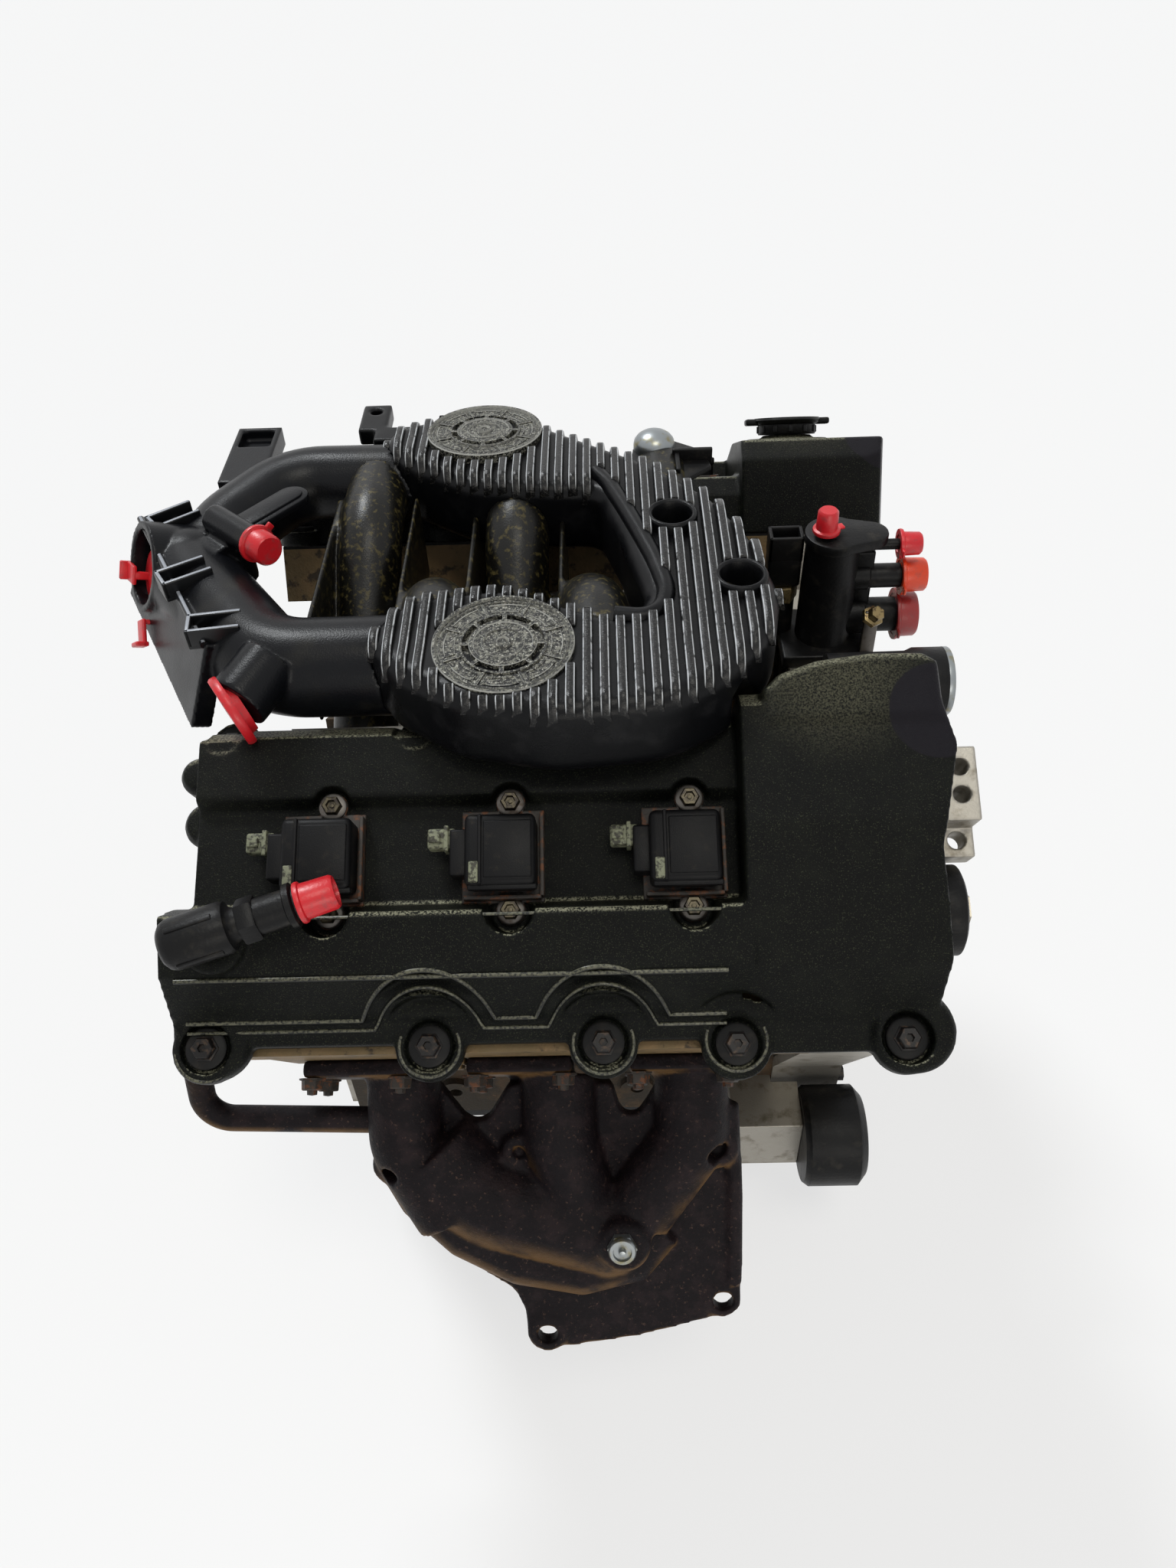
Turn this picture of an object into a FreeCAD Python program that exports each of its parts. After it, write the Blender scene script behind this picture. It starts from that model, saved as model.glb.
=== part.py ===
"""A sixty degree V6 engine with twin overhead camshafts per bank, as a parametric assembly.

Frame: millimetres, X along the crankshaft towards the timing end, Z up, and the near bank on -Y.
The origin is on the crankshaft's axis in the plane of the block's rear face.

Each cylinder bank has a frame of its own before it is turned into place: X as above, Z up the
cylinders, and Y across the bank. A point there is written with out, its distance outboard of the
cylinder axes, and up, its height above the crankshaft's axis.
"""
import FreeCAD, Part
import math
import os
import Sketcher

# Driving dimensions in millimetres, degrees or counts
SIZES = {
    # cylinders and block
    "bore": 86, "bore_pitch": 96, "first_bore": 52, "bank_offset": 24, "bank_angle": 30,
    "deck_height": 212, "deck_half_width": 75, "front_margin": 55, "skirt_half_width": 115,
    "skirt_depth": 60, "skirt_wall": 10, "skirt_top": 10, "valley_floor": 168, "valley_half_width": 30,
    "bell_bolt_half_span": 108, "bell_bolt_low": 20, "bell_bolt_high": 101, "bell_bolt_radius": 5.5,
    "bell_bolt_depth": 22, "mount_bolt_radius": 5, "mount_boss_radius": 13, "mount_boss_rise": 5,
    "mount_level": -25, "core_plug_radius": 17, "core_plug_depth": 7, "core_plug_up": 140,
    "core_boss_out": 90,
    # crankshaft
    "crank_throw": 41, "main_radius": 31, "main_width": 24, "pin_radius": 25, "web_thickness": 14,
    "flying_web": 8, "web_radius": 68, "flange_radius": 42, "flange_thickness": 12, "pilot_radius": 16,
    "pilot_depth": 26, "flange_bolt_circle": 31, "flange_bolt_radius": 4.5, "seal_radius": 38,
    "snout_radius": 13, "running_clearance": 0.05, "gap": 0.3, "cap_depth": 50,
    # sump
    "pan_depth": 150, "pan_shallow": 108, "pan_top_half_width": 96, "pan_floor_half_width": 60,
    "pan_wall": 4, "pan_flange": 8, "sump_rear": 30, "sump_front": 190, "sump_ramp": 35,
    # heads
    "head_rear": 8, "head_tail": 18, "head_top": 334, "head_in": 80, "head_out": 100,
    "port_face_out": 85, "exhaust_port_up": 250, "intake_port_up": 273, "cam_spread": 32, "head_step": 300,
    "cam_pocket_floor": 306, "cam_pocket_half_width": 56, "cam_journal_radius": 12, "cam_shaft_radius": 10.5,
    "lobe_base_radius": 13, "lobe_nose_radius": 6, "lobe_reach": 14.5, "lobe_width": 10, "lobe_spread": 24,
    "bearing_width": 16, "bearing_cap_height": 17, "plug_tube_radius": 15, "plug_well_radius": 12,
    "plug_seat": 28, "plug_height": 35, "rail_rise": 22,
    # timing drive
    "chain_pitch": 7.5, "crank_teeth": 16, "tooth_height": 1.6, "chain_width": 8, "chain_thickness": 5,
    "chain_setback": 9, "link_setback": 16, "pump_height": 212, "timing_depth": 52, "timing_wall": 5,
    "timing_valley_top": 300, "timing_valley_half": 74, "timing_bolt_inset": 9, "timing_bolt_radius": 6,
    # valve covers
    "cover_gasket": 2, "cover_wall": 3.5, "cover_tail": 30, "cover_step_back": 49, "cover_reach": 63,
    "trough_up": 366, "hump_up": 374, "band_up": 385, "timing_top_up": 398, "flange_up": 346,
    # coils
    "coil_length": 38, "coil_width": 41, "coil_height": 24, "coil_bolt_spread": 29.3, "coil_stalk_radius": 9,
    # intake
    "plenum_top": 411, "plenum_deck": 404, "plenum_floor": 357, "plenum_bulge": 5, "plenum_round": 10,
    "rib_pitch": 8.8, "rib_width": 3.6,
    "crown_radius": 1680, "disc_radius": 37.7, "disc_spread": 113, "well_radius": 12.5,
    "runner_radius": 20, "duct_radius": 28, "rail_thickness": 12,
    # exhaust
    "port_radius": 18, "runner_pipe_radius": 22, "collector_radius": 28, "apron_thickness": 10,
    "apron_slope": 55.1, "manifold_flange": 10, "outlet_radius": 22, "outlet_depth": 34,
    "outlet_hole_radius": 6, "outlet_along": 202, "outlet_aside": 262, "outlet_low": 26, "egr_radius": 8,
    # front end
    "pulley_radius": 76, "pulley_width": 30, "pulley_gap": 6, "pulley_hub_radius": 22, "groove_pitch": 3.56,
    "groove_depth": 2.6, "idler_radius": 26, "idler_width": 16, "idler_gap": 12, "idler_bore": 8,
    "outlet_tower_radius": 18, "outlet_tower_top": 385, "neck_radius": 20, "neck_wall": 3, "cap_place": 342,
    "pump_pin": 7,
}

DOC = FreeCAD.newDocument("engine")
SHEET = DOC.addObject("Spreadsheet::Sheet", "Sizes")
V = FreeCAD.Vector
NEAR, FAR = -1, 1
NODES = []


class Dim(float):
    """A number that also carries the spreadsheet formula that it comes from."""

    def __new__(cls, value, formula):
        dim = float.__new__(cls, value)
        dim.formula = formula
        return dim

    def __add__(self, other):
        return joined(self, "+", other)

    def __radd__(self, other):
        return joined(other, "+", self)

    def __sub__(self, other):
        return joined(self, "-", other)

    def __rsub__(self, other):
        return joined(other, "-", self)

    def __mul__(self, other):
        return joined(self, "*", other)

    def __rmul__(self, other):
        return joined(other, "*", self)

    def __truediv__(self, other):
        return joined(self, "/", other)

    def __neg__(self):
        return joined(0, "-", self)


def formula(number):
    return number.formula if isinstance(number, Dim) else "(%r)" % float(number)


def joined(first, sign, second):
    a, b = float(first), float(second)
    value = {"+": a + b, "-": a - b, "*": a * b, "/": a / b if b else 0.0}[sign]
    return Dim(value, "(%s %s %s)" % (formula(first), sign, formula(second)))


def cosine(angle):
    return Dim(math.cos(math.radians(angle)), "cos(%s)" % formula(angle))


def sine(angle):
    return Dim(math.sin(math.radians(angle)), "sin(%s)" % formula(angle))


class Sizes:
    """The spreadsheet's values as attributes."""


s = Sizes()
for row, (alias, value) in enumerate(SIZES.items(), start=1):
    SHEET.set("A%d" % row, alias)
    SHEET.set("B%d" % row, str(value))
    SHEET.setAlias("B%d" % row, alias)
    setattr(s, alias, Dim(value, "Sizes." + alias))
DOC.recompute()

# Lengths that follow from the driving ones
s.block_length = s.first_bore + s.bank_offset + 2 * s.bore_pitch + s.front_margin
s.chain_plane = s.block_length + s.chain_setback
s.link_plane = s.chain_plane + s.link_setback
s.timing_front = s.block_length + s.timing_depth
s.pulley_start = s.timing_front + s.pulley_gap
s.idler_start = s.timing_front + s.idler_gap
s.cover_step = s.block_length - s.cover_step_back
s.cover_front = s.block_length + s.cover_reach


# Helpers that make bound features

def bind(thing, path, value):
    if isinstance(value, Dim):
        thing.setExpression(path, value.formula)


def place(thing, x=0, y=0, z=0, rotation=None):
    """Puts a feature at a point, each coordinate bound to its formula."""
    thing.Placement = FreeCAD.Placement(V(x, y, z), rotation or FreeCAD.Rotation())
    for axis, value in zip("xyz", (x, y, z)):
        bind(thing, "Placement.Base." + axis, value)
    return thing


def outline(body, role, points, name="outline"):
    """A closed polygon on one of the body's origin planes, every corner locked to its formulas."""
    sketch = body.newObject("Sketcher::SketchObject", body.Name + "_" + name)
    plane = [f for f in body.Origin.OriginFeatures if f.Role == role][0]
    sketch.AttachmentSupport = (plane, [""])
    sketch.MapMode = "FlatFace"
    count = len(points)
    for i, (a, b) in enumerate(points):
        c, d = points[(i + 1) % count]
        sketch.addGeometry(Part.LineSegment(V(a, b, 0), V(c, d, 0)))
    for i in range(count):
        sketch.addConstraint(Sketcher.Constraint("Coincident", i, 2, (i + 1) % count, 1))
    for i, point in enumerate(points):
        for kind, value in zip(("DistanceX", "DistanceY"), point):
            index = sketch.addConstraint(Sketcher.Constraint(kind, -1, 1, i, 1, float(value)))
            bind(sketch, "Constraints[%d]" % index, value)
    return sketch


def prism(name, role, points, length, x=0, y=0, z=0):
    """A body made of one polygon padded along its plane's normal."""
    body = DOC.addObject("PartDesign::Body", name)
    pad = body.newObject("PartDesign::Pad", name + "_pad")
    sketch = outline(body, role, points)
    pad.Profile = sketch
    pad.Length = float(length)
    bind(pad, "Length", length)
    body.Tip = pad
    return place(body, x, y, z)


def revolved(name, points, x=0, y=0, z=0, rotation=None):
    """A body turned about its own Z axis from a profile of radius and height."""
    body = DOC.addObject("PartDesign::Body", name)
    turn = body.newObject("PartDesign::Revolution", name + "_turn")
    sketch = outline(body, "XZ_Plane", points)
    turn.Profile = sketch
    turn.ReferenceAxis = (sketch, ["V_Axis"])
    turn.Angle = 360
    body.Tip = turn
    return place(body, x, y, z, rotation)


def box(name, x, y, z, length, width, height):
    block = DOC.addObject("Part::Box", name)
    for prop, value in (("Length", length), ("Width", width), ("Height", height)):
        setattr(block, prop, float(value))
        bind(block, prop, value)
    return place(block, x, y, z)


ALONG = {
    "x": FreeCAD.Rotation(V(0, 1, 0), 90),
    "y": FreeCAD.Rotation(V(1, 0, 0), -90),
    "z": FreeCAD.Rotation(),
}


def rod(name, radius, length, x=0, y=0, z=0, along="x", sides=0):
    """A cylinder, or a hexagonal prism when it has sides, from a point along an axis."""
    kind = "Part::Prism" if sides else "Part::Cylinder"
    thing = DOC.addObject(kind, name)
    if sides:
        thing.Polygon = sides
        thing.Circumradius = float(radius)
        bind(thing, "Circumradius", radius)
    else:
        thing.Radius = float(radius)
        bind(thing, "Radius", radius)
    thing.Height = float(length)
    bind(thing, "Height", length)
    return place(thing, x, y, z, ALONG[along])


def fused(name, *things):
    union = DOC.addObject("Part::MultiFuse", name)
    union.Shapes = list(things)
    return union


def cut(name, base, *tools):
    result = DOC.addObject("Part::Cut", name)
    result.Base = base
    result.Tool = tools[0] if len(tools) == 1 else fused(name + "_tools", *tools)
    return result


def common(name, *things):
    result = DOC.addObject("Part::MultiCommon", name)
    result.Shapes = list(things)
    return result


def group(name, *things):
    result = DOC.addObject("Part::Compound", name)
    result.Links = list(things)
    return result


def feature(name, shape):
    thing = DOC.addObject("Part::Feature", name)
    thing.Shape = shape
    return thing


def turned(thing, side):
    """Turns a piece made in a bank's frame to where that bank stands."""
    holder = group(thing.Name + "_turned", thing)
    holder.Placement = FreeCAD.Placement(V(0, 0, 0), FreeCAD.Rotation(V(-side, 0, 0), s.bank_angle))
    bind(holder, "Placement.Rotation.Angle", s.bank_angle)
    return holder


def node(label, thing):
    thing.Label = label
    NODES.append(thing)
    return thing


# Places that many pieces share

def word(side):
    return "near" if side == NEAR else "far"


def cylinder_x(side, index):
    first = s.first_bore + s.bank_offset if side == FAR else s.first_bore
    return first + index * s.bore_pitch


def main_x(index):
    """The rear side of a main bearing, midway between the two banks' cylinders."""
    middle = s.first_bore + s.bank_offset / 2 - s.bore_pitch / 2
    return middle - s.main_width / 2 + index * s.bore_pitch


def from_bank(side, out, up):
    """A bank frame point as Y and Z in the engine's frame."""
    c, n = cosine(s.bank_angle), sine(s.bank_angle)
    return side * (n * up + c * out), c * up - n * out


def mirrored(points):
    """A symmetric outline from its half on the far side, listed from bottom to top."""
    return list(points) + [(-y, z) for y, z in reversed(points)]


def sprocket_radius(teeth):
    return s.chain_pitch / (2 * sine(180 / Dim(teeth, formula(teeth))))


# Outlines worked out with tangents

def tangent_loop(circles):
    """A closed wire of tangents round circles of (x, y, radius, turn), turn 1 inside the loop."""
    edges, ends = [], []
    count = len(circles)
    for i in range(count):
        x0, y0, r0, t0 = circles[i]
        x1, y1, r1, t1 = circles[(i + 1) % count]
        span = math.hypot(x1 - x0, y1 - y0)
        way = math.atan2(y1 - y0, x1 - x0) + math.asin((t0 * r0 - t1 * r1) / span)
        side = V(math.sin(way), -math.cos(way), 0)
        ends.append((V(x0, y0, 0) + side * (t0 * r0), V(x1, y1, 0) + side * (t1 * r1)))
    for i in range(count):
        start, end = ends[i]
        edges.append(Part.LineSegment(start, end).toShape())
        x1, y1, r1, t1 = circles[(i + 1) % count]
        leave = ends[(i + 1) % count][0]
        first = math.atan2(end.y - y1, end.x - x1)
        last = math.atan2(leave.y - y1, leave.x - x1)
        sweep = (last - first) * t1 % (2 * math.pi)
        middle = first + t1 * sweep / 2
        through = V(x1 + r1 * math.cos(middle), y1 + r1 * math.sin(middle), 0)
        edges.append(Part.Arc(end, through, leave).toShape())
    return Part.Wire(Part.__sortEdges__(edges))


def rounded_loop(corners):
    """A closed wire through (x, y, radius) corners, straight between tangent arcs."""
    edges, arcs = [], []
    count = len(corners)
    for i in range(count):
        here = V(corners[i][0], corners[i][1], 0)
        back = V(corners[i - 1][0], corners[i - 1][1], 0) - here
        ahead = V(corners[(i + 1) % count][0], corners[(i + 1) % count][1], 0) - here
        arcs.append(corner_arc(here, back, ahead, corners[i][2]))
    for i in range(count):
        start, middle, end = arcs[i]
        edges.append(Part.Arc(start, middle, end).toShape())
        edges.append(Part.LineSegment(end, arcs[(i + 1) % count][0]).toShape())
    return Part.Wire(Part.__sortEdges__(edges))


def corner_arc(here, back, ahead, radius):
    """The start, middle and end of the arc that rounds a corner."""
    back, ahead = V(back), V(ahead)
    limit = 0.49 * min(back.Length, ahead.Length)
    half = back.getAngle(ahead) / 2
    reach = min(radius / math.tan(half), limit)
    back.normalize()
    ahead.normalize()
    radius = reach * math.tan(half)
    bisector = (back + ahead).normalize()
    middle = here + bisector * (radius / math.sin(half) - radius)
    return here + back * reach, middle, here + ahead * reach


def slab(wire, low, high):
    """A flat outline as a solid between two heights."""
    wire = wire.copy()
    wire.translate(V(0, 0, low))
    return Part.Face(wire).extrude(V(0, 0, high - low))


def pipe(points, bend, radius):
    """A round bar along straight runs joined by tangent arcs."""
    points = [V(*p) for p in points]
    edges, start = [], points[0]
    for back, here, ahead in zip(points, points[1:], points[2:]):
        first, middle, last = corner_arc(here, back - here, ahead - here, bend)
        edges.append(Part.LineSegment(start, first).toShape())
        edges.append(Part.Arc(first, middle, last).toShape())
        start = last
    edges.append(Part.LineSegment(start, points[-1]).toShape())
    path = Part.Wire(edges)
    circle = Part.Circle(points[0], points[1] - points[0], radius).toShape()
    return path.makePipeShell([Part.Wire(circle)], True, False)


def toothed(teeth, pitch_radius, height, width):
    """A sprocket's toothed blank along X, its teeth as short trapezoids."""
    points = []
    for k in range(int(teeth)):
        for share, radius in ((0.0, -1), (0.2, -1), (0.4, 1), (0.8, 1)):
            angle = 2 * math.pi * (k + share) / teeth
            reach = pitch_radius + radius * height
            points.append(V(0, reach * math.cos(angle), reach * math.sin(angle)))
    wire = Part.makePolygon(points + points[:1])
    return Part.Face(wire).extrude(V(width, 0, 0))


# Block, crankshaft and sump

def cylinder_block():
    wide = [
        (s.skirt_half_width, -s.skirt_depth),
        (s.skirt_half_width, s.skirt_top),
        from_bank(FAR, s.deck_half_width, s.deck_height),
        from_bank(FAR, -s.deck_half_width, s.deck_height),
        (s.valley_half_width, s.valley_floor),
    ]
    casting = [prism("block_casting", "YZ_Plane", mirrored(wide), s.block_length)]
    inner = s.skirt_half_width - s.skirt_wall
    lower = prism("crankcase", "YZ_Plane", mirrored([(inner, -s.skirt_depth - 1), (inner, 0)]),
                  s.block_length + 2, x=-1)
    tools = [lower]
    bay = s.web_radius + 16
    arch = mirrored([(bay, -1), (bay, 0.3 * bay), (0.65 * bay, 0.85 * bay), (0.25 * bay, 1.05 * bay)])
    for i in range(3):
        start = main_x(i) + s.main_width
        tools.append(prism("bay_%d" % i, "YZ_Plane", arch, s.bore_pitch - s.main_width, x=start))
    tools.append(rod("main_bore", s.main_radius + s.running_clearance, s.block_length + 2, x=-1))
    for side in (NEAR, FAR):
        holes = [rod("%s_bore_%d" % (word(side), i), s.bore / 2, 0.7 * s.deck_height,
                     cylinder_x(side, i), 0, 0.31 * s.deck_height, "z") for i in range(3)]
        tools.append(turned(fused("%s_bores" % word(side), *holes), side))
        casting.append(turned(fused("%s_core_bosses" % word(side), *core_rods(side, "boss", 20, 4)), side))
        seats = core_rods(side, "seat", s.core_plug_depth + 1, 0)
        tools.append(turned(fused("%s_core_seats" % word(side), *seats), side))
        for x in mount_bolt_places():
            reach = s.skirt_half_width + s.mount_boss_rise
            start = reach if side == NEAR else 0
            casting.append(rod("mount_boss", s.mount_boss_radius, s.mount_boss_rise + 2, x,
                               side * s.skirt_half_width - (s.mount_boss_rise if side == NEAR else 2),
                               s.mount_level, "y"))
            tools.append(rod("mount_bolt_hole", s.mount_bolt_radius, s.mount_boss_rise + 7, x,
                             -start if side == NEAR else reach - s.mount_boss_rise - 7, s.mount_level, "y"))
    for y in (-s.bell_bolt_half_span, s.bell_bolt_half_span):
        for z in (s.bell_bolt_low, s.bell_bolt_high):
            tools.append(rod("bell_bolt", s.bell_bolt_radius, s.bell_bolt_depth + 1, -1, y, z))
    node("cylinder_block", cut("block_machined", fused("block_with_bosses", *casting), *tools))


def mount_bolt_places():
    """Where the engine mounts' bolts stand along the skirt."""
    return [s.first_bore + 28 + k * 70 for k in range(3)]


def core_rods(side, role, depth, wider):
    """Rods across a bank beside its cylinders, from the face of the core plugs' bosses inwards."""
    start = s.core_boss_out - depth if side == FAR else -s.core_boss_out
    return [rod("%s_core_%s_%d" % (word(side), role, i), s.core_plug_radius + wider, depth,
                cylinder_x(side, i), start, s.core_plug_up, "y") for i in range(3)]


def core_plugs():
    """Dished plugs pressed into the sides of the block."""
    plugs = []
    for side in (NEAR, FAR):
        for i in range(3):
            tag = "%s_%d" % (word(side), i)
            base = side * (s.core_boss_out - s.core_plug_depth)
            start = base if side == FAR else base - s.core_plug_depth + 2
            dish = base + 2 if side == FAR else base - s.core_plug_depth - 1
            x = cylinder_x(side, i)
            disc = rod("core_disc_" + tag, s.core_plug_radius, s.core_plug_depth - 2, x, start,
                       s.core_plug_up, "y")
            hollow = rod("core_dish_" + tag, s.core_plug_radius - 2, s.core_plug_depth - 1, x, dish,
                         s.core_plug_up, "y")
            plugs.append(turned(cut("core_plug_" + tag, disc, hollow), side))
    node("core_plugs", group("all_core_plugs", *plugs))


def main_bearing_caps():
    reach = s.main_radius + 20
    profile = mirrored([(0.7 * reach, -s.cap_depth), (reach, -0.3 * s.cap_depth), (reach, 0)])
    caps = []
    for i in range(4):
        blank = prism("cap_blank_%d" % i, "YZ_Plane", profile, s.main_width, x=main_x(i))
        hole = rod("cap_hole_%d" % i, s.main_radius + s.running_clearance, s.main_width + 2, main_x(i) - 1)
        caps.append(cut("cap_%d" % i, blank, hole))
    node("main_bearing_caps", group("caps", *caps))


def crankshaft():
    end = s.pulley_start + s.pulley_width
    land = s.flange_thickness - 2 * s.gap
    parts = [rod("crank_snout", s.snout_radius, end - main_x(3), main_x(3))]
    parts.append(rod("crank_tail", s.seal_radius, land, -s.flange_thickness))
    parts.append(rod("crank_flange", s.flange_radius, s.flange_thickness, -2 * s.flange_thickness))
    parts.append(rod("crank_rear", s.main_radius, main_x(0) + 1, -1))
    for i in range(4):
        parts.append(rod("journal_%d" % i, s.main_radius, s.main_width + 4 * s.gap, main_x(i) - 2 * s.gap))
    room = s.bore_pitch - s.main_width - 4 * s.gap
    pin_width = (room - 2 * s.web_thickness - s.flying_web) / 2
    for i in range(3):
        start = main_x(i) + s.main_width + 2 * s.gap
        for k in range(2):
            parts += throw(i, k, start, room, pin_width)
        middle = math.radians(120 * i + 90)
        reach = 0.87 * s.crank_throw
        parts.append(rod("flying_web_%d" % i, s.pin_radius + 16, s.flying_web,
                         start + s.web_thickness + pin_width,
                         reach * round(math.cos(middle), 4), reach * round(math.sin(middle), 4)))
    tools = [rod("pilot_bore", s.pilot_radius, s.pilot_depth, -2 * s.flange_thickness)]
    for k in range(8):
        angle = math.radians(45 * k)
        tools.append(rod("flange_hole_%d" % k, s.flange_bolt_radius, s.flange_thickness,
                         -2 * s.flange_thickness, s.flange_bolt_circle * round(math.cos(angle), 4),
                         s.flange_bolt_circle * round(math.sin(angle), 4)))
    node("crankshaft", cut("crank_finished", fused("crank_forging", *parts), *tools))


def throw(index, half, start, room, pin_width):
    """One crankpin, sixty degrees from its partner, and the web with its counterweight."""
    angle = 120 * index + 60 + 60 * half
    away = math.radians(angle)
    y = s.crank_throw * round(math.cos(away), 4)
    z = s.crank_throw * round(math.sin(away), 4)
    web = start + half * (room - s.web_thickness)
    pin = start + s.web_thickness + half * (pin_width + s.flying_web)
    tag = "%d_%d" % (index, half)
    weight = rod("weight_" + tag, s.web_radius, s.web_thickness, web)
    weight.Angle = 140
    turn = FreeCAD.Rotation(V(1, 0, 0), angle + 200).multiply(ALONG["x"])
    weight.Placement = FreeCAD.Placement(V(web, 0, 0), turn)
    bind(weight, "Placement.Base.x", web)
    return [
        rod("pin_" + tag, s.pin_radius, pin_width, pin, y, z),
        rod("cheek_" + tag, s.pin_radius + 10, s.web_thickness, web, y, z),
        rod("hub_" + tag, s.main_radius + 6, s.web_thickness, web),
        weight,
    ]


def sump():
    """The stepped pan: a tapered section across, met by a stepped section along."""
    shapes = []
    for name, t in (("pan_outer", 0), ("pan_inner", s.pan_wall)):
        top = s.skirt_depth - t
        across = mirrored([(s.pan_floor_half_width - t, -s.pan_depth + t),
                           (s.pan_top_half_width - t, -s.skirt_depth - 20), (s.pan_top_half_width - t, -top)])
        along = [(6 + t, -top), (6 + t, -s.skirt_depth - 35), (s.sump_rear + t, -s.pan_depth + t),
                 (s.sump_front - t, -s.pan_depth + t), (s.sump_front + s.sump_ramp - t, -s.pan_shallow + t),
                 (s.block_length - 6 - t, -s.pan_shallow + t), (s.block_length - 6 - t, -top)]
        shapes.append(common(name, prism(name + "_across", "YZ_Plane", across, s.block_length),
                             prism(name + "_along", "XZ_Plane", along, 2 * s.skirt_half_width,
                                   y=s.skirt_half_width)))
    flange = box("pan_flange_plate", 0, -s.skirt_half_width, -s.skirt_depth - s.pan_flange,
                 s.block_length, 2 * s.skirt_half_width, s.pan_flange)
    level = -s.pan_depth + 22
    boss = rod("drain_boss", 15, s.sump_rear, 2, 0, level)
    hole = rod("drain_hole", 8, s.sump_rear + 8, 0, 0, level)
    shell = fused("pan_shell", shapes[0], flange, boss)
    node("oil_pan", cut("pan_pressed", shell, shapes[1], hole))
    node("drain_plug", fused("plug", rod("plug_head", 11, 8, -6, 0, level, "x", 6),
                             rod("plug_shank", 8, 20, 2, 0, level)))
    bolts = []
    for k in range(6):
        for y in (-s.skirt_half_width + 8, s.skirt_half_width - 8):
            bolts.append(rod("pan_bolt", 6, 6, 24 + k * (s.block_length - 48) / 5, y,
                             -s.skirt_depth - s.pan_flange - 6, "z", 6))
    node("oil_pan_bolts", group("pan_bolts", *bolts))


def rear_seal_retainer():
    inner = s.skirt_half_width - s.skirt_wall
    points = mirrored([(inner, -s.skirt_depth), (inner, 0), (0.6 * inner, 0.5 * inner)])
    plate = prism("retainer_plate", "YZ_Plane", points, 8, x=-8)
    hole = rod("retainer_hole", s.seal_radius + s.gap, 10, -9)
    node("rear_seal_retainer", cut("retainer", plate, hole))


# Cylinder heads and valve gear

def cylinder_head(side):
    name = word(side)
    low_points = [(-70, s.deck_height), (s.deck_half_width, s.deck_height), (s.head_out, s.deck_height + 22),
                  (s.head_out, s.head_step), (-s.port_face_out, s.head_step),
                  (-s.port_face_out, s.deck_height + 32)]
    high_points = [(s.head_out, s.head_step - 2), (s.head_out, s.head_top), (-s.head_in, s.head_top),
                   (-s.head_in, s.head_step - 2)]
    low = prism(name + "_head_low", "YZ_Plane", [(side * out, up) for out, up in low_points],
                s.block_length - s.head_rear, x=s.head_rear)
    high = prism(name + "_head_high", "YZ_Plane", [(side * out, up) for out, up in high_points],
                 s.block_length + s.head_tail, x=-s.head_tail)
    tools = []
    seat = s.deck_height + s.plug_seat
    bay = s.bore_pitch - s.bearing_width
    for i in range(3):
        x = cylinder_x(side, i)
        tools.append(box("%s_bay_%d" % (name, i), x - bay / 2, -s.cam_pocket_half_width, s.cam_pocket_floor,
                         bay, 2 * s.cam_pocket_half_width, s.head_top - s.cam_pocket_floor + 1))
        tools.append(rod("%s_well_%d" % (name, i), s.plug_well_radius, s.cam_pocket_floor + 14 - seat, x, 0,
                         seat, "z"))
        tools.append(rod("%s_thread_%d" % (name, i), 7, 40, x, 0, s.deck_height - 2, "z"))
        chamber = DOC.addObject("Part::Cone", "%s_chamber_%d" % (name, i))
        chamber.Radius1, chamber.Radius2, chamber.Height = 40, 14, 14
        tools.append(place(chamber, x, 0, s.deck_height - 0.5))
        start = s.head_out - 20 if side == FAR else -s.head_out - 20
        tools.append(rod("%s_exhaust_%d" % (name, i), s.port_radius, 40, x, start, s.exhaust_port_up, "y"))
        start = -s.port_face_out - 20 if side == FAR else s.port_face_out - 20
        tools.append(rod("%s_intake_%d" % (name, i), s.port_radius, 40, x, start, s.intake_port_up, "y"))
    for out in (-s.cam_spread, s.cam_spread):
        tools.append(rod("%s_cam_line" % name, s.cam_journal_radius + s.running_clearance,
                         s.block_length + s.head_tail, -s.head_tail + 4, side * out, s.head_top))
    head = cut(name + "_head", fused(name + "_head_blank", low, high), *tools)
    node(name + "_cylinder_head", turned(head, side))


def camshaft(side, out, label):
    """A camshaft along X with two lobes over each cylinder, made where its bearings are."""
    start = -s.head_tail + 6
    end = s.link_plane + s.chain_width + 4
    shape = Part.makeCylinder(s.cam_shaft_radius, end - start, V(start, 0, 0), V(1, 0, 0))
    shapes = []
    for i in range(3):
        x = cylinder_x(side, i)
        for k, offset in enumerate((-s.lobe_spread, s.lobe_spread)):
            shapes.append(lobe(x + offset - s.lobe_width / 2, 120 * i + side * 40 + (90 if out > 0 else 0)))
    for i in range(4):
        x = cylinder_x(side, 0) - s.bore_pitch / 2 + i * s.bore_pitch
        width = min(s.bearing_width + 8, 2 * (s.block_length - 1 - x))
        shapes.append(Part.makeCylinder(s.cam_journal_radius, width, V(x - width / 2, 0, 0), V(1, 0, 0)))
    shape = shape.multiFuse(shapes).removeSplitter()
    y, z = from_bank(side, out, s.head_top)
    shaft = feature(label + "_shape", shape)
    node(label, place(shaft, 0, y, z))


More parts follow.
